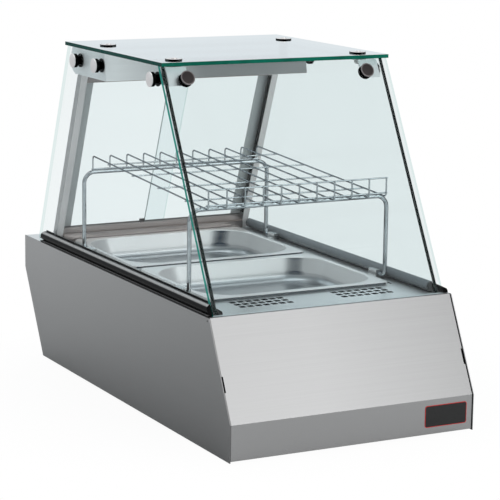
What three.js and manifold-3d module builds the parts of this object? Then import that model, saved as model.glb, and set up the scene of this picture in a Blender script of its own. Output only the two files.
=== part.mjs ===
// Heated display case for a counter: a stainless cabinet with a heated well and two half-size pans, a glass case
// over it held by round clamps, two sliding rear doors that lean with the rear posts, and a wire rack. Millimetres,
// +Z up. The customer's side faces -Y and the server's side, with the doors and the controls, faces +Y.
import * as THREE from "three";
import { mergeVertices } from "three/addons/utils/BufferGeometryUtils.js";
import Module from "manifold-3d";

const wasm = await Module();
wasm.setup();

// Driving dimensions. Heights are over the cabinet's bottom edge, and x runs from the left side panel to the right.
const fit = 0.3; // gap left between pieces that touch
const overrun = 5; // how far a cutting block passes its piece
const sheet = 1.2; // stainless sheet of the cabinet

// The cabinet is made around two pans, one behind the other, with a rim apart and spaces beside, before and behind.
const pan = {
  width: 325, length: 265, rimTop: 4.5, rim: 6, endRim: 13, depth: 40, wall: 1, corner: 12, mouth: 60, hem: 4.2,
  lip: 2, draft: 5, round: 14,
};
const panSpace = { beside: 52.5, before: 173, between: 13, behind: 98 };
const cabinet = {
  width: pan.width + 2 * panSpace.beside,
  depth: panSpace.before + 2 * pan.length + panSpace.between + panSpace.behind,
  height: 205,
  band: 58,
  setback: 72.7,
  backDrop: 57.3,
  undercut: 82.8,
};
const flange = { bottom: 20, top: 3.8, lift: 2 };
const reveal = { gap: 1.3, back: 1.5 }; // the front panel stands back from the side panels' edges
const frontTab = { length: 25, depth: 2.2, low: 102 };
const relief = { radius: 1.5, down: 5, back: 6 };

// How far in from the cabinet's back edge each of these stands.
const fromBack = {
  glass: 28, sideSlots: 258, outerRail: 69, innerRail: 95, post: 86, beamFront: 296, beamFloor: 174,
  beamClamps: [291, 202], topClamp: 261, rack: 185.4, terminal: 174,
};

const glazing = {
  rise: 356.8, frontRun: 192, rearRun: 137.5, frontInset: 10.5, sideInset: 15.5, frontFoot: 79.5,
  rearFoot: cabinet.depth - fromBack.glass,
};
const pane = { front: 6, side: 6, top: 6, door: 4, topOverhang: 7.3 };

const foot = { height: 5, radius: 12, inset: 45, chamfer: 1.5 };
const well = { lip: 8, inset: 5, corner: 20, floorGap: 18 };
const divider = { width: 37, drop: 15, rib: 11, ribHeight: 1.3, tab: 13, wall: 1.2 };
const vent = {
  columns: 7, rows: 3, pitchX: 13.9, pitchY: 16.5, length: 10.5, width: 10.5, fromMiddle: 43.5,
  firstRow: 124, soften: 1.2,
};
const sideSlot = {
  length: 12, width: 4, line: 46.8, pitch: 19, count: 3, soften: 1.2,
  starts: [178, cabinet.depth - fromBack.sideSlots],
};

const outerRail = {
  edge: 1.5, baseHeight: 2, bulge: 7.5, lipWidth: 1.8, lipHeight: 2, end: cabinet.depth - fromBack.outerRail,
};
const innerRail = { thick: 8.6, height: 17, end: cabinet.depth - fromBack.innerRail };
const lowRail = { high: 13, low: 6, round: 2, innerHigh: 9.5, innerLow: 4.5, innerWidth: 8.6 };

const post = { foot: cabinet.depth - fromBack.post, lip: 12, back: 31, wall: 1.5, gap: 2.6 };
const track = { wall: 1.6, play: 1, between: 3, height: 12, floor: 1.5, topWalls: 12, doorTop: 4 };
const sill = { height: 13.7, lead: 2.5, wall: 1.5, back: 4 };
const door = { overlap: 42, endPlay: 0.6 };
const glide = { width: 9.3, height: 16 };

const beam = {
  height: 46, wall: 1.5, frontTop: cabinet.depth - fromBack.beamFront, frontLean: 9,
  floorBack: cabinet.depth - fromBack.beamFloor, round: 24,
};
const bracket = { width: 35, depth: 38, height: 28, wall: 1.5 };
const clamp = {
  capRadius: 12, cap: 1.5, chamfer: 0.5, pad: 6, frontPad: 1.5, padRadius: 11.6, sleeve: 6.4, hole: 7,
  innerPad: 2.2, stud: 3, studHole: 4, nutRadius: 6, nut: 5, end: 2,
};
const topClamp = { pad: 1.8, padRadius: 13.6, capRadius: 5 };
const clampPlace = {
  drop: 23.3, beamSides: fromBack.beamClamps.map((back) => cabinet.depth - back), bracketSide: 304.5,
  topX: 48, topBack: cabinet.depth - fromBack.topClamp, topFront: 300, frontX: 53, frontDrop: 19,
};

const rod = { radius: 3.5, bend: 19, footBend: 10 };
const rack = { legX: 36.6, front: 216.3, back: cabinet.depth - fromBack.rack, barHeight: 138.3, footReach: 42 };
const wire = {
  radius: 1.3, count: 11, edge: 18.5, lipY: 188, lipRise: 31.7, slope: 22, bend: 6, weld: 0.8, overhang: 2,
};
const crossShares = [0.1157, 0.3606, 0.6031, 0.8409]; // along the rack, from its front frame to its back frame
const clip = { width: 11, height: 11, length: 24, bore: 3.8, reach: 18 };

const control = { drop: 29, knobX: 110, switchX: 200, lampX: 250, glandX: 335 };
const knob = {
  radius: 20, skirt: 4, grip: 15.5, length: 18, bore: 3.4, boreDepth: 13, chamfer: 1.5, gap: 1,
  ridge: 2.4, ridgeOut: 1.2,
};
const thermostat = { width: 44, height: 38, depth: 32, shaft: 3, shaftHole: 4, shaftOut: 12 };
const rocker = { width: 20, half: 5.8, end: 3.6, middle: 2.4, under: 3.4, tilt: 10, pivotIn: 1.5 };
const housing = {
  width: 30, height: 22, bezel: 2, bodyWidth: 26, bodyHeight: 17.4, depth: 20, pocketWidth: 21.2,
  pocketHeight: 14.2, pocket: 11,
};
const lamp = { bezel: 7, rim: 1.5, body: 4.5, depth: 16, dome: 4.8, domeHeight: 2.6 };
const gland = { nut: 11, nutLength: 6, dome: 8, length: 15, thread: 6.2, inside: 11, bore: 3.6 };
const element = { radius: 4, passes: 4, sideGap: 52, frontGap: 46, tail: 26 };
const cutout = { radius: 9, height: 8 };
const terminal = {
  width: 44, depth: 18, height: 16, ways: 3, groove: 4, grooveDepth: 6, y: cabinet.depth - fromBack.terminal,
};

// Levels and planes that the pieces share.
const deckTop = cabinet.height;
const deckUnder = deckTop - sheet;
const deckSeat = deckTop + fit;
const topUnder = deckTop + glazing.rise;
const middle = cabinet.width / 2;
const frontSlope = glazing.frontRun / glazing.rise;
const rearSlope = glazing.rearRun / glazing.rise;
const frontStretch = Math.hypot(1, frontSlope);
const rearStretch = Math.hypot(1, rearSlope);
const backBottom = cabinet.depth - cabinet.undercut;
const sideInner = sheet + fit;
const length = cabinet.depth + knob.gap + knob.length;

// The front glass's outer face, the side glass's back edge and the posts' front face, each at a height z.
const frontFace = (z) => glazing.frontFoot + frontSlope * (z - deckTop);
const glassBack = (z) => glazing.rearFoot - rearSlope * (z - deckTop);
const postFace = (z) => post.foot - rearSlope * (z - deckTop);
const frontInner = (z) => frontFace(z) + (pane.front + fit) * frontStretch;

// Across a pane from its outer face: the pad inside it, and the metal plate that the clamp holds it to.
const plateOffset = pane.side + fit + clamp.innerPad + fit;
const plateX = glazing.sideInset + plateOffset;

// Finishes, by eye from the photograph.
const finish = {
  brushed: { color: 0xb9b9b7, roughness: 0.38, metalness: 1 },
  side: { color: 0x8a8a89, roughness: 0.42, metalness: 1 },
  polished: { color: 0xd6d8d9, roughness: 0.16, metalness: 1 },
  chrome: { color: 0xc9cdd0, roughness: 0.12, metalness: 1 },
  black: { color: 0x151515, roughness: 0.42, metalness: 0 },
  rubber: { color: 0x0d0d0d, roughness: 0.75, metalness: 0 },
  glass: { color: 0xcfe6df, roughness: 0.03, metalness: 0, transparent: true, opacity: 0.35 },
  cap: { color: 0xcfcac8, roughness: 0.2, metalness: 1 },
  copper: { color: 0x6e4a38, roughness: 0.5, metalness: 0.8 },
  brown: { color: 0x2a1d17, roughness: 0.6, metalness: 0 },
  lens: { color: 0xd9731a, roughness: 0.2, metalness: 0 },
  grey: { color: 0x6f7173, roughness: 0.5, metalness: 0 },
};

// Booleans

// A closed geometry as a solid, with its shared vertices merged.
function solid(geometry) {
  const bare = geometry.clone();
  bare.deleteAttribute("normal");
  bare.deleteAttribute("uv");
  const merged = mergeVertices(bare);
  return new wasm.Manifold(
    new wasm.Mesh({
      numProp: 3,
      vertProperties: merged.attributes.position.array,
      triVerts: new Uint32Array(merged.index.array),
    }),
  );
}

// A solid back as a geometry.
function geometryOf(made) {
  const mesh = made.getMesh();
  const geometry = new THREE.BufferGeometry();
  geometry.setAttribute("position", new THREE.BufferAttribute(mesh.vertProperties, mesh.numProp));
  geometry.setIndex(new THREE.BufferAttribute(mesh.triVerts, 1));
  geometry.computeVertexNormals();
  return geometry;
}

function join(...pieces) {
  return geometryOf(pieces.map(solid).reduce((a, b) => a.add(b)));
}

function cut(piece, ...tools) {
  return geometryOf(tools.map(solid).reduce((a, b) => a.subtract(b), solid(piece)));
}

// Shapes

function shapeOf(points, holes = []) {
  const shape = new THREE.Shape(points.map(([u, v]) => new THREE.Vector2(u, v)));
  for (const hole of holes) {
    shape.holes.push(new THREE.Path(hole.map(([u, v]) => new THREE.Vector2(u, v))));
  }
  return shape;
}

function extruded(points, depth, holes) {
  return new THREE.ExtrudeGeometry(shapeOf(points, holes), { depth, bevelEnabled: false, steps: 1 });
}

const axis = {
  x: new THREE.Vector3(1, 0, 0),
  y: new THREE.Vector3(0, 1, 0),
  z: new THREE.Vector3(0, 0, 1),
  yBack: new THREE.Vector3(0, -1, 0),
};

// An outline in (y, z) drawn out along x from x0 to x1.
function alongX(points, x0, x1, holes) {
  const basis = new THREE.Matrix4().makeBasis(axis.y, axis.z, axis.x);
  return extruded(points, x1 - x0, holes).applyMatrix4(basis).translate(x0, 0, 0);
}

// An outline in (x, z) drawn out along y from y0 to y1.
function alongY(points, y0, y1, holes) {
  const basis = new THREE.Matrix4().makeBasis(axis.x, axis.z, axis.yBack);
  return extruded(points, y1 - y0, holes).applyMatrix4(basis).translate(0, y1, 0);
}

// An outline in (x, y) drawn out along z from z0 to z1.
function alongZ(points, z0, z1, holes) {
  return extruded(points, z1 - z0, holes).translate(0, 0, z0);
}

function block(x0, x1, y0, y1, z0, z1) {
  const geometry = new THREE.BoxGeometry(x1 - x0, y1 - y0, z1 - z0);
  return geometry.translate((x0 + x1) / 2, (y0 + y1) / 2, (z0 + z1) / 2);
}

// A turned piece about z from a profile of [radius, height] points, from its top on the axis to its bottom.
function turned(profile, segments) {
  const points = profile.map(([radius, height]) => new THREE.Vector2(radius, height)).reverse();
  return new THREE.LatheGeometry(points, segments).rotateX(Math.PI / 2);
}

// The same piece turned to point along +y.
function turnedBack(profile, segments) {
  return turned(profile, segments).rotateX(-Math.PI / 2);
}

function circle(u, v, radius, count) {
  return Array.from({ length: count }, (_, i) => {
    const angle = (2 * Math.PI * i) / count;
    return [u + radius * Math.cos(angle), v + radius * Math.sin(angle)];
  });
}

// An arc of points about (u, v) from angle a0 to a1 in degrees.
function arc(u, v, radius, a0, a1, steps) {
  return Array.from({ length: steps + 1 }, (_, i) => {
    const angle = THREE.MathUtils.degToRad(a0 + ((a1 - a0) * i) / steps);
    return [u + radius * Math.cos(angle), v + radius * Math.sin(angle)];
  });
}

function rectangle(u0, u1, v0, v1) {
  return [[u0, v0], [u1, v0], [u1, v1], [u0, v1]];
}

function roundedRectangle(u0, u1, v0, v1, radius, steps) {
  return [
    ...arc(u1 - radius, v0 + radius, radius, -90, 0, steps),
    ...arc(u1 - radius, v1 - radius, radius, 0, 90, steps),
    ...arc(u0 + radius, v1 - radius, radius, 90, 180, steps),
    ...arc(u0 + radius, v0 + radius, radius, 180, 270, steps),
  ];
}

// A sheet folded along a path of outer corners, with the given wall on the path's right-hand side.
function folded(path, wall) {
  const normals = path.slice(1).map(([u, v], i) => {
    const du = u - path[i][0];
    const dv = v - path[i][1];
    const run = Math.hypot(du, dv);
    return [dv / run, -du / run];
  });
  const inner = path.map(([u, v], i) => {
    const before = normals[Math.max(i - 1, 0)];
    const after = normals[Math.min(i, normals.length - 1)];
    const share = 1 + before[0] * after[0] + before[1] * after[1];
    return [u + (wall * (before[0] + after[0])) / share, v + (wall * (before[1] + after[1])) / share];
  });
  return [...path, ...inner.reverse()];
}

// A slab that leans with the rear posts: at height z its front face is front(z), and it is thick along y.
function leaning(front, thick, z0, z1, x0, x1) {
  return alongX([[front(z0), z0], [front(z0) + thick, z0], [front(z1) + thick, z1], [front(z1), z1]], x0, x1);
}

// A run of points as a curve whose steps fall on the points themselves.
class Run extends THREE.Curve {
  constructor(points) {
    super();
    this.points = points;
  }

  getPoint(t, target = new THREE.Vector3()) {
    const place = t * (this.points.length - 1);
    const i = Math.min(Math.floor(place), this.points.length - 2);
    return target.lerpVectors(this.points[i], this.points[i + 1], place - i);
  }

  getPointAt(t, target) {
    return this.getPoint(t, target);
  }

  getTangentAt(t, target = new THREE.Vector3()) {
    const i = Math.round(t * (this.points.length - 1));
    const last = this.points.length - 1;
    const before = this.points[Math.max(i - 1, 0)];
    const here = this.points[i];
    const after = this.points[Math.min(i + 1, last)];
    const first = here.clone().sub(before).normalize();
    const second = after.clone().sub(here).normalize();
    return target.copy(first).add(second).normalize();
  }
}

// A round bar along straight stretches between corners, each inner corner bent to its own radius.
function bar(corners, radius, bends, sides, bendSteps) {
  const points = [corners[0]];
  corners.slice(1, -1).forEach((corner, i) => {
    const toBefore = corners[i].clone().sub(corner).normalize();
    const toAfter = corners[i + 2].clone().sub(corner).normalize();
    const half = toBefore.angleTo(toAfter) / 2;
    const along = bends[i] / Math.tan(half);
    const centre = toBefore.clone().add(toAfter).normalize().multiplyScalar(bends[i] / Math.sin(half)).add(corner);
    const from = corner.clone().addScaledVector(toBefore, along).sub(centre);
    const to = corner.clone().addScaledVector(toAfter, along).sub(centre);
    const turn = from.angleTo(to);
    const spin = from.clone().cross(to).normalize();
    for (let step = 0; step <= bendSteps; step += 1) {
      points.push(from.clone().applyAxisAngle(spin, (turn * step) / bendSteps).add(centre));
    }
  });
  points.push(corners[corners.length - 1]);
  return new THREE.ExtrudeGeometry(shapeOf(circle(0, 0, radius, sides)), {
    steps: points.length - 1,
    bevelEnabled: false,
    extrudePath: new Run(points),
  });
}

// A closed shell through rings of equal point counts, from a first ring to a last one, with both ends filled.
function lofted(rings) {
  const count = rings[0].length;
  const vertices = rings.flat();
  const faces = [];
  for (let r = 0; r + 1 < rings.length; r += 1) {
    for (let i = 0; i < count; i += 1) {
      const a = r * count + i;
      const b = r * count + ((i + 1) % count);
      faces.push([a, b + count, b], [a, a + count, b + count]);
    }
  }
  const last = (rings.length - 1) * count;
  for (let i = 1; i + 1 < count; i += 1) {
    faces.push([0, i, i + 1], [last, last + i + 1, last + i]);
  }
  const geometry = new THREE.BufferGeometry();
  geometry.setAttribute("position", new THREE.Float32BufferAttribute(vertices.flat(), 3));
  geometry.setIndex(faces.flat());
  return geometry;
}

// Assembly

const displayCase = new THREE.Group();
displayCase.position.set(-middle, -length / 2, foot.height);
const leftSide = new THREE.Group();
const rightSide = new THREE.Group();
rightSide.position.x = cabinet.width;
rightSide.scale.x = -1;
displayCase.add(leftSide, rightSide);

function add(group, name, geometry, look) {
  const mesh = new THREE.Mesh(geometry, new THREE.MeshStandardMaterial(look));
  mesh.name = name;
  group.add(mesh);
  return mesh;
}

// The same piece on both sides, the right one mirrored.
function addPair(name, geometry, look) {
  add(leftSide, "left_" + name, geometry, look);
  add(rightSide, "right_" + name, geometry, look);
}

// Cabinet

const sideOutline = [
  [0, 0],
  [backBottom, 0],
  [cabinet.depth, deckTop - cabinet.backDrop],
  [cabinet.depth, deckTop],
  [cabinet.setback, deckTop],
  [0, cabinet.band],
];
const reliefHole = circle(cabinet.setback + relief.back, deckTop - relief.down, relief.radius, 8);
addPair("side_panel", alongX(sideOutline, 0, sheet, [reliefHole]), finish.side);

// The front panel is one folded sheet behind the side panels' edges, with a slot in each edge of its slope.
const panelRight = cabinet.width - sideInner;
const frontEnds = [sheet + reveal.gap, cabinet.width - sheet - reveal.gap];
const slopeRun = cabinet.setback / (cabinet.height - cabinet.band);
const slopeStretch = Math.hypot(1, slopeRun);
const slopeFace = (z) => (z - cabinet.band) * slopeRun + reveal.back * slopeStretch;
const foldZ = cabinet.band + (reveal.back - reveal.back * slopeStretch) / slopeRun;
const deckFront = slopeFace(deckTop) + flange.top + fit;
const frontPath = [
  [reveal.back + flange.bottom, flange.lift],
  [reveal.back, flange.lift],
  [reveal.back, foldZ],
  [slopeFace(deckTop), deckTop],
  [slopeFace(deckTop) + flange.top, deckTop],
];
const tabHigh = frontTab.low + frontTab.length / slopeStretch;
const tabOutline = [
  [slopeFace(frontTab.low) - overrun, frontTab.low],
  [slopeFace(frontTab.low) + overrun, frontTab.low],
  [slopeFace(tabHigh) + overrun, tabHigh],
  [slopeFace(tabHigh) - overrun, tabHigh],
];
add(
  displayCase,
  "front_panel",
  cut(
    alongX(folded(frontPath, sheet), ...frontEnds),
    alongX(tabOutline, frontEnds[0] - overrun, frontEnds[0] + frontTab.depth),
    alongX(tabOutline, frontEnds[1] - frontTab.depth, frontEnds[1] + overrun),
  ),
  finish.brushed,
);

// The back panel carries the controls on its upright strip.
const controlZ = deckTop - control.drop;
const backPath = [
  [cabinet.depth - flange.bottom, deckUnder - fit],
  [cabinet.depth, deckUnder - fit],
  [cabinet.depth, deckTop - cabinet.backDrop],
  [backBottom, flange.lift],
  [backBottom - flange.bottom, flange.lift],
];
const throughBack = (radius, x) =>
  turnedBack([[0, overrun], [radius, overrun], [radius, -overrun], [0, -overrun]], 16)
    .translate(x, cabinet.depth, controlZ);
add(
  displayCase,
  "back_panel",
  cut(
    alongX(folded(backPath, sheet), sideInner, panelRight),
    throughBack(thermostat.shaftHole, control.knobX),
    block(
      control.switchX - housing.bodyWidth / 2 - fit,
      control.switchX + housing.bodyWidth / 2 + fit,
      cabinet.depth - overrun,
      cabinet.depth + overrun,
      controlZ - housing.bodyHeight / 2 - fit,
      controlZ + housing.bodyHeight / 2 + fit,
    ),
    throughBack(lamp.body + fit, control.lampX),
    throughBack(gland.thread + fit, control.glandX),
  ),
  finish.brushed,
);

const bottomZ = flange.lift + sheet + fit;
add(
  displayCase,
  "bottom_plate",
  block(sideInner, panelRight, reveal.back + sheet + fit, backBottom - sheet - fit, bottomZ, bottomZ + sheet),
  finish.brushed,
);

const footProfile = [
  [0, bottomZ - fit],
  [foot.radius, bottomZ - fit],
  [foot.radius, foot.chamfer - foot.height],
  [foot.radius - foot.chamfer, -foot.height],
  [0, -foot.height],
];
for (const [end, y] of [["front", foot.inset], ["back", backBottom - foot.inset]]) {
  addPair("foot_" + end, turned(footProfile, 16).translate(foot.inset, y, 0), finish.rubber);
}

// Deck, well and pans

const panLeft = panSpace.beside;
const panRight = panLeft + pan.width;
const backPanFront = panSpace.before + pan.length + panSpace.between;
const panBack = backPanFront + pan.length;
const mouth = [panLeft + well.inset, panRight - well.inset, panSpace.before + well.inset, panBack - well.inset];

function softSlot(x, y, width, height, soften) {
  const [x1, y1] = [x + width, y + height];
  return [
    [x + soften, y], [x1 - soften, y], [x1, y + soften], [x1, y1 - soften],
    [x1 - soften, y1], [x + soften, y1], [x, y1 - soften], [x, y + soften],
  ];
}

const deckHoles = [roundedRectangle(...mouth, well.corner, 4)];
const ventSpan = (vent.columns - 1) * vent.pitchX + vent.length;
for (const start of [middle - vent.fromMiddle - ventSpan, middle + vent.fromMiddle]) {
  for (let row = 0; row < vent.rows; row += 1) {
    for (let column = 0; column < vent.columns; column += 1) {
      const y = vent.firstRow + row * vent.pitchY - vent.width / 2;
      deckHoles.push(softSlot(start + column * vent.pitchX, y, vent.length, vent.width, vent.soften));
    }
  }
}
for (const line of [sideSlot.line, cabinet.width - sideSlot.line]) {
  for (const start of sideSlot.starts) {
    for (let i = 0; i < sideSlot.count; i += 1) {
      const x = line - sideSlot.width / 2;
      deckHoles.push(softSlot(x, start + i * sideSlot.pitch, sideSlot.width, sideSlot.length, sideSlot.soften));
    }
  }
}
add(
  displayCase,
  "deck",
  alongZ(rectangle(sideInner, panelRight, deckFront, cabinet.depth - sheet - fit), deckUnder, deckTop, deckHoles),
  finish.brushed,
);

const panRimZ = deckTop + pan.rimTop;
const panFloorZ = panRimZ - pan.depth;
const wellTop = deckUnder - fit;
const wellFloor = panFloorZ - pan.wall - well.floorGap;
const wellRing = (out, corner) =>
  roundedRectangle(mouth[0] - out, mouth[1] + out, mouth[2] - out, mouth[3] + out, corner, 4);
add(
  displayCase,
  "heated_well",
  join(
    alongZ(wellRing(well.lip, well.corner + well.lip), wellTop - sheet, wellTop, [wellRing(0, well.corner)]),
    cut(
      alongZ(wellRing(sheet, well.corner + sheet), wellFloor - sheet, wellTop),
      alongZ(wellRing(0, well.corner), wellFloor, wellTop + overrun),
    ),
  ),
  finish.polished,
);

// The bar between the pans: a channel in the well's mouth, with a raised rib that ends in tabs on the deck.
const dividerY = backPanFront - panSpace.between / 2;
const dividerSpan = [mouth[0] + fit, mouth[1] - fit];
const ribTop = deckSeat + divider.ribHeight;
const halfBar = divider.width / 2;
const barPath = [
  [dividerY - halfBar, deckTop - divider.drop],
  [dividerY - halfBar, deckTop],
  [dividerY + halfBar, deckTop],
  [dividerY + halfBar, deckTop - divider.drop],
];
// The rib lies over the channel and the deck alike, and a neck a little narrower than it holds it to the channel.
const ribSides = [dividerY - divider.rib / 2, dividerY + divider.rib / 2];
add(
  displayCase,
  "pan_divider",
  join(
    alongX(folded(barPath, divider.wall), ...dividerSpan),
    block(dividerSpan[0] - divider.tab, dividerSpan[1] + divider.tab, ...ribSides, deckSeat, ribTop),
    block(
      dividerSpan[0] + divider.wall, dividerSpan[1] - divider.wall,
      ribSides[0] + divider.wall, ribSides[1] - divider.wall,
      deckTop - divider.wall / 2, deckSeat + divider.ribHeight / 2,
    ),
  ),
  finish.brushed,
);

// A pan is one pressed shell: floor, wall with a little draft, a wide rim and a hem turned down around it.
function panShell(front) {
  const ring = (inset, z, corner, endInset = inset) =>
    roundedRectangle(panLeft + inset, panRight - inset, front + endInset, front + pan.length - endInset, corner, 5)
      .map(([x, y]) => [x, y, z]);
  const mouthRing = (inset, z, corner) => ring(inset, z, corner, inset + pan.endRim - pan.rim);
  const shell = (offset, rimLow) => {
    const z = panRimZ - offset;
    const floor = panFloorZ - offset;
    const wallTop = pan.rim + pan.lip - offset;
    const wallFoot = pan.rim + pan.lip + pan.draft - offset;
    const mouthCorner = pan.mouth + offset;
    const bend = (angle) => pan.round * (1 - Math.cos(THREE.MathUtils.degToRad(angle)));
    const drop = (angle) => pan.round * (1 - Math.sin(THREE.MathUtils.degToRad(angle)));
    return [
      mouthRing(wallFoot + pan.round, floor, mouthCorner - pan.round),
      mouthRing(wallFoot + bend(60), floor + drop(60), mouthCorner - bend(60)),
      mouthRing(wallFoot + bend(30), floor + drop(30), mouthCorner - bend(30)),
      mouthRing(wallFoot, floor + pan.round, mouthCorner),
      mouthRing(wallTop, z - pan.lip, mouthCorner),
      mouthRing(wallTop - pan.lip / 3, z - pan.lip / 3, mouthCorner),
      mouthRing(wallTop - pan.lip, z, mouthCorner),
      ring(rimLow + pan.wall, z, pan.corner - pan.wall),
      ring(rimLow, z - pan.wall, pan.corner),
    ];
  };
  const inner = shell(0, 0);
  const outer = shell(pan.wall, pan.wall);
  const hem = [ring(0, panRimZ - pan.hem, pan.corner), ring(pan.wall, panRimZ - pan.hem, pan.corner)];
  return lofted([...inner, ...hem, ...outer.reverse()]);
}
add(displayCase, "front_pan", panShell(panSpace.before), finish.polished);
add(displayCase, "back_pan", panShell(backPanFront), finish.polished);

// Heating and controls inside the cabinet

const wellUnder = wellFloor - sheet - fit;
const elementZ = wellUnder - element.radius;
const passGap = (mouth[1] - mouth[0] - 2 * element.sideGap) / (element.passes - 1);
const elementCorners = [];
for (let i = 0; i < element.passes; i += 1) {
  const x = mouth[0] + element.sideGap + i * passGap;
  const isEnd = i === 0 || i === element.passes - 1;
  const ends = [mouth[3] - element.frontGap + (isEnd ? element.tail : 0), mouth[2] + element.frontGap];
  const [first, second] = i % 2 === 0 ? ends : ends.reverse();
  elementCorners.push(new THREE.Vector3(x, first, elementZ), new THREE.Vector3(x, second, elementZ));
}
const elementBends = elementCorners.slice(1, -1).map(() => passGap / 2 - fit);
add(displayCase, "heating_element", bar(elementCorners, element.radius, elementBends, 8, 6), finish.copper);

add(
  displayCase,
  "safety_cutout",
  turned([
    [0, wellUnder], [cutout.radius, wellUnder],
    [cutout.radius, wellUnder - cutout.height], [0, wellUnder - cutout.height],
  ], 16)
    .translate(middle, (mouth[2] + mouth[3]) / 2, 0),
  finish.black,
);

const terminalZ = bottomZ + sheet + fit;
const terminalGrooves = Array.from({ length: terminal.ways }, (_, i) => {
  const x = middle - terminal.width / 2 + ((i + 1) * terminal.width) / (terminal.ways + 1);
  return block(
    x - terminal.groove / 2, x + terminal.groove / 2, terminal.y - overrun, terminal.y + terminal.depth + overrun,
    terminalZ + terminal.height - terminal.grooveDepth, terminalZ + terminal.height + overrun,
  );
});
add(
  displayCase,
  "terminal_block",
  cut(
    block(
      middle - terminal.width / 2, middle + terminal.width / 2, terminal.y, terminal.y + terminal.depth,
      terminalZ, terminalZ + terminal.height,
    ),
    ...terminalGrooves,
  ),
  finish.grey,
);

const panelInner = cabinet.depth - sheet - fit;
const panelOuter = cabinet.depth + fit;
add(
  displayCase,
  "thermostat_body",
  join(
    block(
      control.knobX - thermostat.width / 2, control.knobX + thermostat.width / 2,
      panelInner - thermostat.depth, panelInner,
      controlZ - thermostat.height / 2, controlZ + thermostat.height / 2,
    ),
    turnedBack([
      [0, thermostat.shaftOut], [thermostat.shaft, thermostat.shaftOut],
      [thermostat.shaft, -overrun], [0, -overrun],
    ], 12)
      .translate(control.knobX, panelInner, controlZ),
  ),
  finish.black,
);

// The knob has a skirt, a ridge for its pointer and a blind bore on the thermostat's shaft.
const knobProfile = [
  [0, knob.length],
  [knob.grip - knob.chamfer, knob.length],
  [knob.grip, knob.length - knob.chamfer],
  [knob.grip, knob.skirt],
  [knob.radius, knob.skirt - knob.chamfer],
  [knob.radius, 0],
  [knob.bore, 0],
  [knob.bore, knob.boreDepth],
  [0, knob.boreDepth],
];
const ridge = block(
  -knob.ridge / 2, knob.ridge / 2, knob.skirt - knob.chamfer, knob.length - knob.chamfer, knob.grip - knob.ridgeOut,
  knob.grip + knob.ridgeOut,
);
add(
  displayCase,
  "thermostat_knob",
  join(turnedBack(knobProfile, 28), ridge).translate(control.knobX, cabinet.depth + knob.gap, controlZ),
  finish.black,
);

add(
  displayCase,
  "switch_housing",
  cut(
    join(
      block(
        control.switchX - housing.width / 2, control.switchX + housing.width / 2,
        panelOuter, panelOuter + housing.bezel,
        controlZ - housing.height / 2, controlZ + housing.height / 2,
      ),
      block(
        control.switchX - housing.bodyWidth / 2, control.switchX + housing.bodyWidth / 2,
        panelOuter - housing.depth,
        panelOuter + housing.bezel / 2, controlZ - housing.bodyHeight / 2, controlZ + housing.bodyHeight / 2,
      ),
    ),
    block(
      control.switchX - housing.pocketWidth / 2, control.switchX + housing.pocketWidth / 2,
      panelOuter + housing.bezel - housing.pocket, panelOuter + overrun,
      controlZ - housing.pocketHeight / 2, controlZ + housing.pocketHeight / 2,
    ),
  ),
  finish.black,
);
const rockerOutline = [
  [-rocker.under, -rocker.half], [rocker.end, -rocker.half], [rocker.middle, 0], [rocker.end, rocker.half],
  [-rocker.under, rocker.half],
];
const rockerMesh = add(
  displayCase,
  "rocker_switch",
  alongX(rockerOutline, -rocker.width / 2, rocker.width / 2),
  finish.lens,
);
rockerMesh.rotation.x = -THREE.MathUtils.degToRad(rocker.tilt);
rockerMesh.position.set(control.switchX, cabinet.depth - rocker.pivotIn, controlZ);

const domeArc = arc(0, 0, 1, 90, 10, 4).map(([u, v]) => [u * lamp.dome, fit + lamp.rim + v * lamp.domeHeight]);
domeArc[0][0] = 0;
add(
  displayCase,
  "pilot_lamp",
  turnedBack([
    ...domeArc, [lamp.dome, fit + lamp.rim], [lamp.bezel, fit + lamp.rim], [lamp.bezel, fit],
    [lamp.body, fit], [lamp.body, -lamp.depth], [0, -lamp.depth],
  ], 20).translate(control.lampX, cabinet.depth, controlZ),
  finish.lens,
);

// The gland is a ring that closes on itself, bored right through for the mains lead.
const glandProfile = [
  [gland.bore, gland.length],
  [gland.dome, gland.length - knob.chamfer],
  [gland.dome, gland.nutLength],
  [gland.nut, gland.nutLength],
  [gland.nut, fit],
  [gland.thread, fit],
  [gland.thread, -gland.inside],
  [gland.bore, -gland.inside],
  [gland.bore, gland.length],
];
add(
  displayCase,
  "cable_gland",
  turnedBack(glandProfile, 16).translate(control.glandX, cabinet.depth, controlZ),
  finish.black,
);

// Rails along the side glass

const glassOut = glazing.sideInset;
const glassIn = glazing.sideInset + pane.side;
const railFace = glassOut - fit;
const bulgeX = railFace - outerRail.lipWidth - outerRail.bulge / 2;
const bulgeZ = deckSeat + outerRail.baseHeight + outerRail.bulge;
const bulgeTop = bulgeZ + outerRail.bulge;
const outerProfile = [
  [railFace, deckSeat],
  [railFace, bulgeTop + outerRail.lipHeight],
  [railFace - outerRail.lipWidth, bulgeTop + outerRail.lipHeight],
  [railFace - outerRail.lipWidth, bulgeTop],
  ...arc(bulgeX, bulgeZ, outerRail.bulge, 90, 270, 8),
  [outerRail.edge, deckSeat + outerRail.baseHeight],
  [outerRail.edge, deckSeat],
];
const railTop = bulgeTop + outerRail.lipHeight;
// Everything in front of a plane that leans with the front glass, as a cutting block.
const ahead = (plane, x0, x1, z0, z1) =>
  alongX([[plane(z0), z0], [plane(z1), z1], [-overrun, z1], [-overrun, z0]], x0, x1);
const railStart = frontFace(deckTop);
const glassEdge = glazing.frontInset - fit;
const railCut = [deckTop - overrun, railTop + overrun];
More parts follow.
